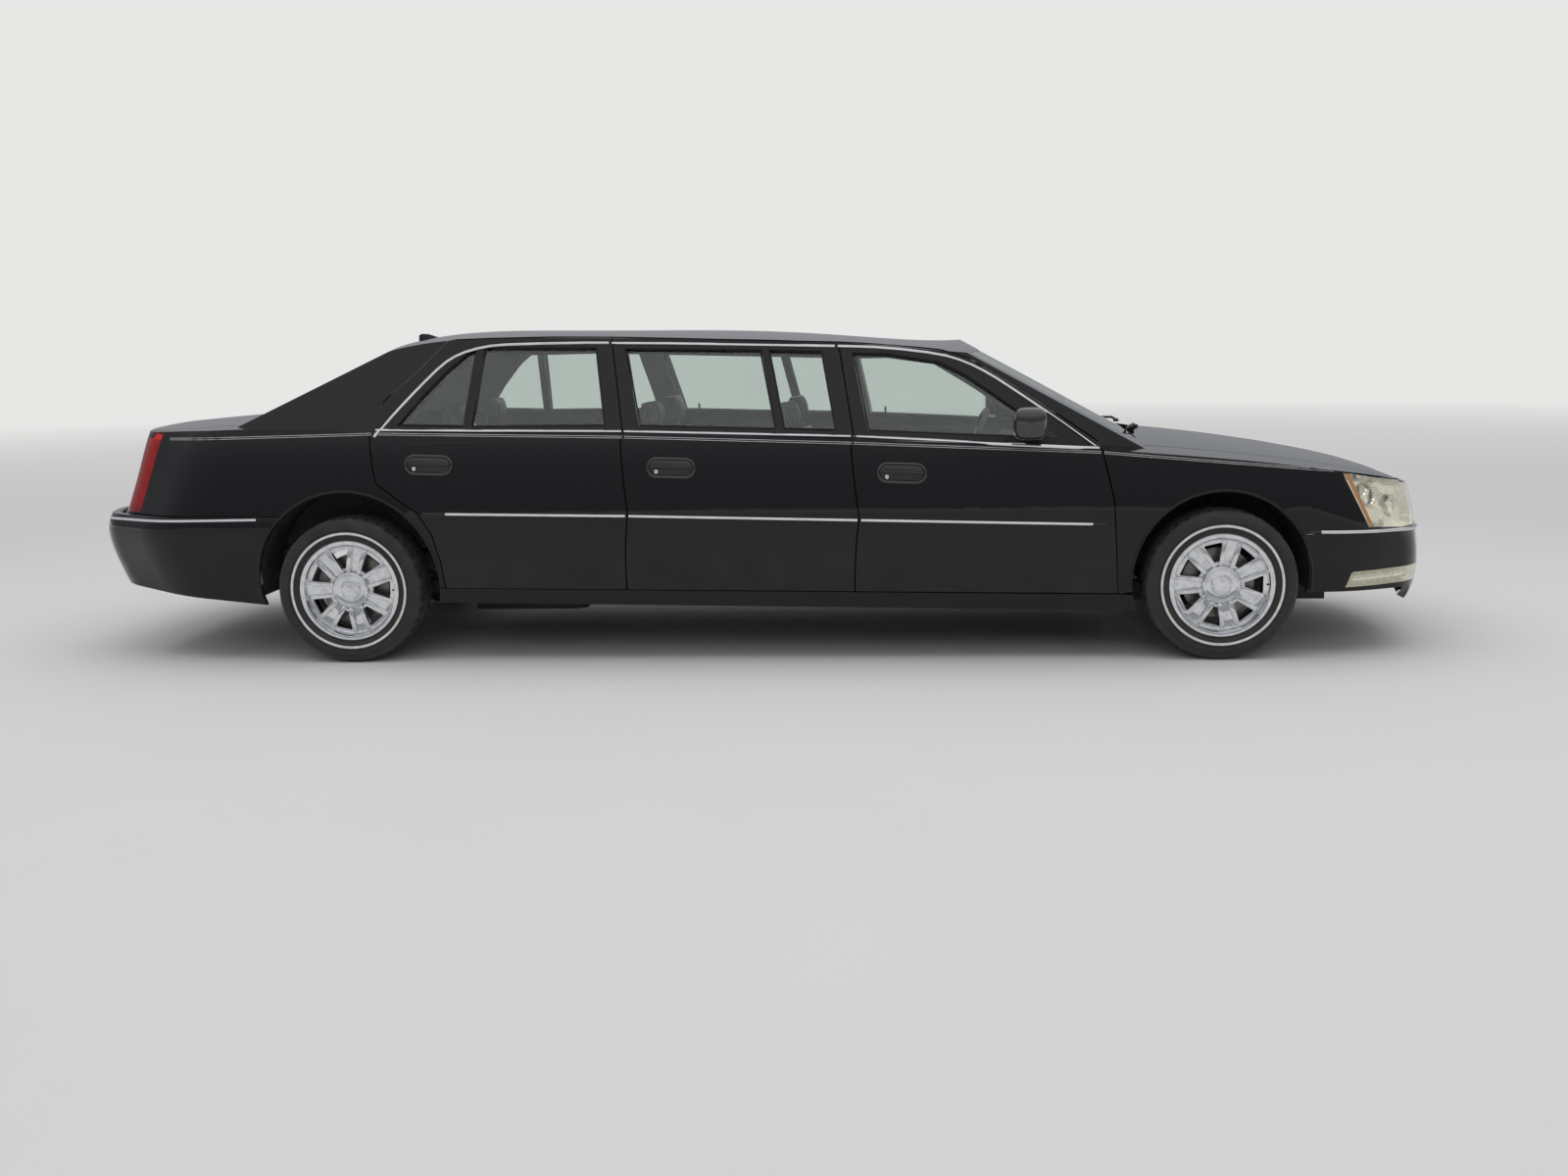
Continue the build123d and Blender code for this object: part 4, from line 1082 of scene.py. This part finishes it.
MIRROR_X = 1.256
MIRROR_Z = 1.077
MIRROR_SQUARENESS = 0.55
MIRROR_SECTIONS = [
    # distance out, length, height
    (0.900, 0.050, 0.046), (0.912, 0.110, 0.100), (0.940, 0.142, 0.136), (1.000, 0.150, 0.146),
    (1.040, 0.144, 0.138), (1.062, 0.110, 0.100), (1.0695, 0.050, 0.046),
]
MIRROR_OPENING = [(1.08, -1.046, MIRROR_Z - 0.054), (1.194, -0.926, MIRROR_Z + 0.054)]
MIRROR_GLASS_PLACE = (1.1915, -0.986, MIRROR_Z)
MIRROR_ARM = [(1.236, -0.925, 1.030), (1.300, -0.925, 1.030), (1.352, -0.812, 1.020), (1.276, -0.812, 1.020)]
MIRROR_PLATE = [(1.236, 1.014), (1.408, 0.998), (1.236, 1.118)]


def softened(part):
    """Squares up a circle's cosine or sine."""
    return math.copysign(abs(part) ** MIRROR_SQUARENESS, part)


def make_mirrors():
    """Smooth mirror housings with their glass, on an arm from a plate at the window's corner."""
    rows = []
    for out, length, height in MIRROR_SECTIONS:
        turns = [math.tau * step / 32 for step in range(33)]
        rows.append([Vector((MIRROR_X + softened(math.cos(turn)) * length / 2, -out,
                             MIRROR_Z + softened(math.sin(turn)) * height / 2)) for turn in turns])
    housing = closed_tube(rows)
    modified(housing, "SUBSURF", levels=2, render_levels=2)
    cutter = block(*MIRROR_OPENING, 0.016, 4)
    modified(housing, "BOOLEAN", object=cutter, operation="DIFFERENCE", solver="EXACT")
    bpy.data.objects.remove(cutter)
    both_sides(housing, "mirror_housing", "door_front_", HANDLE)
    for side in SIDES:
        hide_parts(f"mirror_{side}")
    glass = slab([(0, u, v) for u, v in stadium(0.112, 0.098, 8)], (0.004, 0, 0), 0.001, 1)
    glass.data.transform(moved(*MIRROR_GLASS_PLACE) @ turned(-3, "Z"))
    both_sides(glass, "mirror_glass", "door_front_", MIRROR, 30.0)
    arm = slab(MIRROR_ARM, (0, 0, 0.032), 0.010, 4)
    both_sides(arm, "mirror_arm", "door_front_", PAINT, 50.0)
    plate = slab(seated(MIRROR_PLATE, 0.004), (0, 0.012, 0), 0.003, 2)
    both_sides(plate, "mirror_plate", "door_front_", BLACK_TRIM)


WIPERS = [
    # pivot x, y, then the blade's line x, y
    ((1.846, 0.47), [(1.730, 0.56), (1.778, 0.30), (1.796, 0.06)]),
    ((1.862, -0.06), [(1.796, -0.06), (1.780, -0.30), (1.734, -0.55)]),
]
PIVOT_OUTLINE = [(0.0, 0.0), (0.014, 0.0), (0.014, 0.010), (0.010, 0.016), (0.0, 0.017)]
COWL_REAR_X = 1.690
COWL_BOW = 0.04
COWL_HALF = 0.66
COWL_ROWS = [
    # distance forwards, drop below the hood's crown
    (0.0, 0.046), (0.10, 0.040), (0.20, 0.036),
]


def make_wipers():
    """Two parked wipers and the panel at the foot of the windscreen."""
    for number, ((pivot_x, pivot_y), blade) in enumerate(WIPERS):
        line = [point for point in (screen_point(x, y, 0.010) for x, y in smooth_line(blade, 2)) if point]
        settle(bead(line, 0.0055), f"wiper_blade_{number}", "body", SEAL)
        middle = line[len(line) // 2] + Vector((0, 0, 0.008))
        foot = Vector((pivot_x, pivot_y, middle.z - 0.016))
        elbow = foot.lerp(middle, 0.25) + Vector((0, 0, 0.010))
        arm = bead([foot, elbow, middle], 0.0065, fineness=3)
        settle(arm, f"wiper_arm_{number}", "body", BLACK_TRIM)
        knob = lathe(PIVOT_OUTLINE, 20)
        knob.data.transform(moved(foot.x, foot.y, foot.z - 0.010) @ turned(90, "X"))
        settle(knob, f"wiper_pivot_{number}", "body", BLACK_TRIM)
    rows = []
    for offset, drop in COWL_ROWS:
        row = []
        for step in range(25):
            y = -COWL_HALF + 2 * COWL_HALF * step / 24
            crown = 1.003 - 0.066 * (y / 0.9) ** 2
            bow = COWL_BOW * (1 - (y / COWL_HALF) ** 2)
            row.append(Vector((COWL_REAR_X + offset + bow, y, crown - drop)))
        rows.append(row)
    settle(shell(grid(rows), 0.003), "cowl_panel", "body", BLACK_TRIM)


FIN_SECTIONS = [
    # x, half width, foot, top
    (-1.585, 0.003, 1.470, 1.480), (-1.640, 0.011, 1.466, 1.497), (-1.690, 0.014, 1.460, 1.513),
    (-1.722, 0.012, 1.452, 1.515), (-1.738, 0.006, 1.446, 1.507),
]
FIN_OUTLINE = [(-1.3, 0), (-1, 0.3), (-0.55, 0.75), (0, 1), (0.55, 0.75), (1, 0.3), (1.3, 0)]


def make_fin():
    """Aerial fin at the back of the roof."""
    rows = []
    for x, half, foot, top in FIN_SECTIONS:
        row = [Vector((x, half * u, foot + (top - foot) * v)) for u, v in FIN_OUTLINE]
        rows.append(row + row[:1])
    settle(closed_tube(rows), "aerial_fin", "body", PAINT, 60.0)


PAD_CUTS = 20
PAD_ROUNDNESS = 7.0
SIDE_PULL = 0.035
CHANNEL_WIDTH = 0.010
SEAM_WIDTH = 0.009
STITCH_DEPTH = 0.007
SIDE_SEAM_DEPTH = 0.004
SEATS = [
    # node, hinge line x, base height, top of the back, centre and width of each place, places with headrests
    ("front_seats", 0.330, 0.420, 1.000, [(-0.37, 0.515), (0.37, 0.515)], (-0.37, 0.37)),
    ("middle_seat", -0.330, 0.430, 1.010, [(-0.40, 0.495), (0.0, 0.300), (0.40, 0.495)], (-0.38, 0.38)),
    ("rear_seat", -1.300, 0.440, 1.010, [(-0.38, 0.455), (0.0, 0.300), (0.38, 0.455)], (-0.38, 0.38)),
]
SEAT_LEAN = 16.0
PLINTHS = {
    "front_seats": [(0.350, -0.580, 0.770, -0.160), (0.350, 0.160, 0.770, 0.580)],
    "middle_seat": [(-0.290, -0.510, 0.130, -0.330), (-0.290, 0.330, 0.130, 0.510)],
    "rear_seat": [(-1.250, -0.550, -0.870, 0.550)],
}
FLOOR_TOP = 0.307


def pad(length, width, depth, crown, channels=(), seam=0.74):
    """A stuffed pad about the origin: crowned on top, pulled in between its corners, flat underneath.

    Channels are stitched lines across its length, and seam is the stitched border of its middle panel."""
    deselect()
    bpy.ops.mesh.primitive_cube_add(size=2)
    cushion = bpy.context.object
    edit_all(bpy.ops.mesh.subdivide, number_cuts=PAD_CUTS)
    for vertex in cushion.data.vertices:
        u, v, w = vertex.co
        size = sum(abs(part) ** PAD_ROUNDNESS for part in (u, v, w)) ** (1 / PAD_ROUNDNESS)
        u, v, w = u / size, v / size, w / size
        x = u * length / 2 * (1 - SIDE_PULL * (1 - v * v))
        y = v * width / 2 * (1 - SIDE_PULL * (1 - u * u))
        z = w * (depth / 2 - crown / 2) - crown / 2
        if w > 0:
            z += crown * (1 - u * u) * (1 - v * v) * w
            across = [math.exp(-((x - line) / CHANNEL_WIDTH) ** 2) for line in channels if abs(v) < seam]
            border = math.exp(-((abs(v) - seam) * width / 2 / SEAM_WIDTH) ** 2)
            z -= STITCH_DEPTH * min(1.0, sum(across) + border) * w
        else:
            # a seam pulled in round the sides, a little below their middle
            pinch = math.exp(-((w + 0.25) / 0.16) ** 2) * SIDE_SEAM_DEPTH
            x -= math.copysign(pinch, u) * abs(u) ** 4
            y -= math.copysign(pinch, v) * abs(v) ** 4
        vertex.co = (x, y, z)
    modified(cushion, "SUBSURF", levels=1, render_levels=1)
    return cushion


def stood_up(cushion):
    """Turns a pad so that its length runs up and its crown faces forwards."""
    cushion.data.transform(turned(90, "Y") @ Matrix.Scale(-1, 4, Vector((1, 0, 0))))
    edit_all(bpy.ops.mesh.normals_make_consistent, inside=False)
    return cushion


CUSHION_LENGTH = 0.450
CUSHION_DEPTH = 0.148
BACK_DEPTH = 0.112
BACK_FOOT = 0.095
CUSHION_CHANNELS = (-0.12, -0.02, 0.08)
BACK_CHANNELS = (-0.14, -0.04, 0.06)
REST_LEAN = 6.0
REST_POSTS = (-0.05, 0.05)


def make_seats():
    """Seats of padded leather on dark plinths, with headrests on plated posts."""
    lean = math.radians(SEAT_LEAN)
    for node, hinge, base, top, places, rests in SEATS:
        run = math.tan(lean) * (top - base)
        rise = top - base - BACK_FOOT
        pads = []
        for y, width in places:
            cushion = pad(CUSHION_LENGTH, width, CUSHION_DEPTH, 0.034, CUSHION_CHANNELS)
            cushion.data.transform(moved(hinge + 0.305, y, base + 0.076))
            back = stood_up(pad(rise / math.cos(lean), width, BACK_DEPTH, 0.030, BACK_CHANNELS))
            middle = moved(hinge + 0.046 - run * 0.58, y, (top + base + BACK_FOOT) / 2 + 0.002)
            back.data.transform(middle @ turned(-SEAT_LEAN, "Y"))
            pads += [cushion, back]
        posts = []
        for y in rests:
            rest = stood_up(pad(0.138, 0.245, 0.092, 0.020, (), 0.80))
            rest.data.transform(moved(hinge - run + 0.012, y, top + 0.095) @ turned(-REST_LEAN, "Y"))
            pads.append(rest)
            for side in REST_POSTS:
                x = hinge - run + 0.018
                line = [Vector((x, y + side, top + height)) for height in (-0.03, 0.01, 0.05)]
                posts.append(bead(line, 0.006, fineness=4))
        leather = joined(pads)
        settle(leather, node + "_pads", "body", LEATHER, 60.0)
        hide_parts(node)
        settle(joined(posts), node + "_posts", "body", CHROME)
        plinths = []
        for x0, y0, x1, y1 in PLINTHS[node]:
            plinths.append(block((x0, y0, FLOOR_TOP), (x1, y1, base - 0.002), 0.012))
        settle(joined(plinths), node + "_plinth", "body", PLASTIC)


STEERING_PLACE = (1.085, 0.375, 0.905)
STEERING_TILT = math.radians(24)
RIM_RADIUS = 0.182
RIM_THICKNESS = 0.0148
HUB_OUTLINE = [(0.0, 0.016), (0.046, 0.013), (0.064, 0.004), (0.070, -0.010), (0.066, -0.034), (0.0, -0.038)]
COLUMN_OUTLINE = [(0.0, -0.055), (0.036, -0.055), (0.044, -0.070), (0.048, -0.260), (0.0, -0.260)]
SPOKE_OUTLINE = [
    (0.055, -0.020, -0.021), (0.176, -0.008, -0.014), (0.176, -0.008, 0.014), (0.055, -0.020, 0.021),
]
SPOKE_ANGLES = (0, 180, 55, 125)


def make_steering_wheel():
    """Leather rim, four spokes, a padded hub and a bright arc in the lower half, with the column behind."""
    axis = Vector((-math.cos(STEERING_TILT), 0, math.sin(STEERING_TILT)))
    tilt = Vector((0, 1, 0)).rotation_difference(axis)
    placing = moved(*STEERING_PLACE) @ tilt.to_matrix().to_4x4()
    rim = lathe([(RIM_RADIUS + u, v) for u, v in arc(RIM_THICKNESS, 0, 360, 20)], 96)
    hub = lathe(HUB_OUTLINE, 64)
    spokes = []
    for angle in SPOKE_ANGLES:
        spoke = slab(SPOKE_OUTLINE, (0, 0.016, 0), 0.005, 3)
        spoke.data.transform(turned(angle, "Y"))
        spokes.append(spoke)
    wheel = joined([rim, hub] + spokes)
    wheel.data.transform(placing)
    settle(wheel, "steering_wheel_rim", "steering_wheel", LEATHER, 45.0)
    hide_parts("steering_wheel")
    bright = bead([Vector((u, 0.004, v)) for u, v in arc(0.160, -170, -9, 5)], 0.005, fineness=3)
    bright.data.transform(placing)
    settle(bright, "steering_wheel_arc", "steering_wheel", CHROME, 45.0)
    column = lathe(COLUMN_OUTLINE, 48)
    column.data.transform(placing)
    settle(column, "steering_column", "body", PLASTIC, 45.0)


DOOR_POSTS = [
    # name, x at the foot and at the head
    ("front", 0.4785, 0.409), ("rear", -0.5635, -0.638),
]
POST_FOOT = 0.400
POST_HEAD = 1.385
POST_SHOULDER = 1.03


def make_posts():
    """Posts between the doors, which stay with the body when a door opens."""
    for name, foot, head in DOOR_POSTS:
        rows = []
        for step in range(15):
            z = POST_FOOT + (POST_HEAD - POST_FOOT) * step / 14
            x = foot + (head - foot) * max(0.0, z - 1.05) / 0.35
            y = -0.768 if z < POST_SHOULDER else side_hit(x, z, RIGHT_PANELS) + 0.078
            half = 0.046 if z > 1.0 else 0.058
            rows.append([Vector((x + side * half, y, z)) for side in (-1, -0.4, 0.4, 1)])
        post = rounded_edges(shell(grid(rows), 0.030), 0.006, 2)
        both_sides(post, f"{name}_door_post", "body", PLASTIC)


INSIDE_MIRROR = (1.105, 0.0, 1.325)
LOCK_PINS = [
    # door, place x, z of its pin
    ("rear", -0.70, 1.082), ("middle", -0.41, 1.076), ("front", 0.63, 1.044),
]
PIN_OUTLINE = [
    (0.0, 0.0), (0.0045, 0.0), (0.0045, 0.026), (0.0060, 0.030), (0.0060, 0.044), (0.0040, 0.048),
    (0.0, 0.049),
]


def make_cabin_details():
    """Inside mirror and lock pins."""
    foot = screen_point(1.175, 0.0, -0.013)
    hub = Vector((1.100, 0.0, 1.330))
    arm = bead([foot, foot.lerp(hub, 0.5) - Vector((0, 0, 0.006)), hub], 0.006, fineness=3)
    head = slab([(0, u, v) for u, v in stadium(0.240, 0.062)], (-0.024, 0, 0), 0.010, 4)
    head.data.transform(moved(*INSIDE_MIRROR))
    settle(joined([head, arm]), "inside_mirror", "body", PLASTIC, 45.0)
    glass = slab([(0, u, v) for u, v in stadium(0.224, 0.048)], (-0.002, 0, 0), 0.0006, 1)
    glass.data.transform(moved(INSIDE_MIRROR[0] - 0.0242, INSIDE_MIRROR[1], INSIDE_MIRROR[2]))
    settle(glass, "inside_mirror_glass", "body", MIRROR, 30.0)
    for door, x, z in LOCK_PINS:
        y = side_hit(x, z + 0.012, [f"glass_{door}_right"]) + 0.030
        pin = lathe(PIN_OUTLINE, 20)
        pin.data.transform(moved(x, y, z - 0.012) @ turned(90, "X"))
        both_sides(pin, f"{door}_lock_pin", f"door_{door}_", PLASTIC, 45.0)


DOOR_CARDS = [
    # door, rear and front end of its card, foot and top of the card
    ("front", 0.590, 1.480, 0.480, 0.975), ("middle", -0.460, 0.390, 0.480, 1.000),
    ("rear", -1.240, -0.670, 0.700, 1.000),
]
CARD_FACE = -0.7995
ARMREST = [
    # distance forwards of the card's middle, height
    (-0.20, 0.735), (0.20, 0.735), (0.22, 0.790), (-0.20, 0.775),
]


def make_door_cards():
    """Leather-covered cards inside the doors, each with an armrest and a bright release."""
    for door, rear, front, foot, top in DOOR_CARDS:
        body = f"door_{door}_"
        corners = [(rear, foot), (front, foot), (front, top), (rear, top)]
        card = slab([(x, CARD_FACE, z) for x, z in corners], (0, 0.009, 0), 0.004, 2)
        both_sides(card, f"{door}_door_card", body, LEATHER, 45.0)
        middle = (rear + front) / 2
        rest = slab([(middle + x, CARD_FACE + 0.008, z) for x, z in ARMREST], (0, 0.052, 0), 0.014, 4)
        both_sides(rest, f"{door}_armrest", body, PLASTIC, 45.0)
        handle = []
        for step in range(4):
            y = CARD_FACE + 0.012 + 0.012 * math.sin(math.pi * step / 3)
            handle.append(Vector((middle + 0.10 + 0.035 * step, y, 0.868)))
        both_sides(bead(handle, 0.0065, fineness=3), f"{door}_inside_release", body, CHROME, 45.0)


VENTS_Y = (-0.610, -0.185, 0.185, 0.610)
SLATS = 4
SLAT_FOOT = 0.855
SLAT_PITCH = 0.0105
SLAT_HEIGHT = 0.004


def make_dashboard_details():
    """Instrument hood, air vents and a blank centre screen."""
    hood = block((1.238, 0.215, 0.905), (1.430, 0.535, 0.966), 0.022, 5)
    settle(hood, "instrument_hood", "body", PLASTIC, 45.0)
    screen = block((1.2305, -0.112, 0.812), (1.250, 0.112, 0.890), 0.005, 3)
    settle(screen, "centre_screen", "body", HANDLE, 45.0)
    vents = []
    for y in VENTS_Y:
        vents.append(block((1.2315, y - 0.048, 0.846), (1.250, y + 0.048, 0.896), 0.006, 3))
        for row in range(SLATS):
            foot = SLAT_FOOT + row * SLAT_PITCH
            vents.append(block((1.2285, y - 0.040, foot), (1.240, y + 0.040, foot + SLAT_HEIGHT), 0.0012, 1))
    settle(joined(vents), "air_vents", "body", BLACK_TRIM, 45.0)


make_side_trim()
make_tyres()
make_wheels()
make_handles()
make_seals()
make_arches()
make_mouldings()
make_lamps()
make_mirrors()
make_wipers()
make_fin()
make_seats()
make_steering_wheel()
make_posts()
make_cabin_details()
make_door_cards()
make_dashboard_details()


BACKDROP = (0.80, 0.80, 0.79)
FLOOR_RADIUS = 90
FLOOR_FADE = (6.5, 26.0)


def make_stage():
    """A pale floor that runs out into the backdrop's own colour."""
    deselect()
    bpy.ops.mesh.primitive_circle_add(vertices=96, radius=FLOOR_RADIUS, fill_type="NGON", location=(0, 0, 0))
    floor = bpy.context.object
    floor.name = "floor"
    finish = Finish("pale_floor", Roughness=0.8, Specular_IOR_Level=0.2)
    finish.feed(Base_Color=finish.mix(finish.noise(0.9, 5.0), (0.520, 0.518, 0.510), (0.545, 0.542, 0.534)))
    x, y, z = finish.axes()
    far = finish.band((x * x + y * y) ** 0.5, *FLOOR_FADE)
    near = Wire(finish.tree, finish.shader.outputs[0])
    glow = finish.node("ShaderNodeEmission", Color=(*BACKDROP, 1))
    surface = finish.node("ShaderNodeMixShader", i0=far, i1=near, i2=glow)
    finish.tree.links.new(surface.socket, finish.tree.nodes["Material Output"].inputs["Surface"])
    floor.data.materials.append(finish.material)


LIGHTS = [
    # name, place, length and width, power
    ("overhead", (0.0, -1.0, 8.5), (15.0, 9.0), 560),
    ("right_side", (0.5, -13.0, 6.5), (14.0, 4.0), 300),
    ("left_side", (-1.0, 13.0, 6.5), (14.0, 4.0), 220),
]
LIT_PLACE = Vector((0, 0, 0.6))


def make_lights():
    for name, place, (length, width), power in LIGHTS:
        deselect()
        bpy.ops.object.light_add(type="AREA", location=place)
        lamp = bpy.context.object
        lamp.name = name
        lamp.data.shape = "RECTANGLE"
        lamp.data.size = length
        lamp.data.size_y = width
        lamp.data.energy = power
        lamp.visible_glossy = False
        lamp.rotation_euler = (LIT_PLACE - Vector(place)).to_track_quat("-Z", "Y").to_euler()


SKY = [
    # height above the ground, colour
    (0.0, (0.30, 0.31, 0.33)), (0.22, (0.42, 0.43, 0.45)), (0.60, (0.86, 0.87, 0.90)), (1.0, (1.0, 1.0, 1.0)),
]
SKY_STRENGTH = 0.85


def make_world():
    """A soft studio: bright overhead, dimmer towards the horizon, with an even backdrop behind the car."""
    world = bpy.data.worlds.new("studio")
    bpy.context.scene.world = world
    world.use_nodes = True
    tree = world.node_tree
    direction = add_node(tree, "ShaderNodeTexCoord", out="Generated")
    height = add_node(tree, "ShaderNodeSeparateXYZ", out="Z", i0=direction)
    dome = add_node(tree, "ShaderNodeValToRGB", {"stops": SKY}, i0=height)
    sky = add_node(tree, "ShaderNodeBackground", Color=dome, Strength=SKY_STRENGTH)
    backdrop = add_node(tree, "ShaderNodeBackground", Color=(*BACKDROP, 1))
    seen = add_node(tree, "ShaderNodeLightPath", out="Is Camera Ray")
    through = add_node(tree, "ShaderNodeLightPath", out="Is Transmission Ray")
    view = add_node(tree, "ShaderNodeMixShader", i0=seen.largest(through), i1=sky, i2=backdrop)
    tree.links.new(view.socket, tree.nodes["World Output"].inputs["Surface"])
    tree.nodes.remove(tree.nodes["Background"])


# The camera stands where the photograph was taken
camera_place = Vector((0.6228, -7.7054, 1.4682))
camera_azimuth = math.radians(3.866)
camera_pitch = math.radians(9.385)
camera_roll = math.radians(-0.980)
camera_focal_px = 1550.2
picture_width_px = 1600.0
film_width_mm = 36.0


def make_camera():
    ahead = Vector((-math.sin(camera_azimuth) * math.cos(camera_pitch),
                    math.cos(camera_azimuth) * math.cos(camera_pitch), -math.sin(camera_pitch)))
    across = Vector((math.cos(camera_azimuth), math.sin(camera_azimuth), 0))
    up = across.cross(ahead)
    right = across * math.cos(camera_roll) + up * math.sin(camera_roll)
    top = right.cross(ahead)
    deselect()
    bpy.ops.object.camera_add(location=camera_place)
    camera = bpy.context.object
    facing = Matrix((right, top, -ahead)).transposed().to_4x4()
    camera.matrix_world = Matrix.Translation(camera_place) @ facing
    camera.data.sensor_width = film_width_mm
    camera.data.lens = camera_focal_px / picture_width_px * film_width_mm
    bpy.context.scene.camera = camera


make_camera()
make_stage()
make_world()
make_lights()
bpy.context.scene.view_settings.view_transform = "Standard"
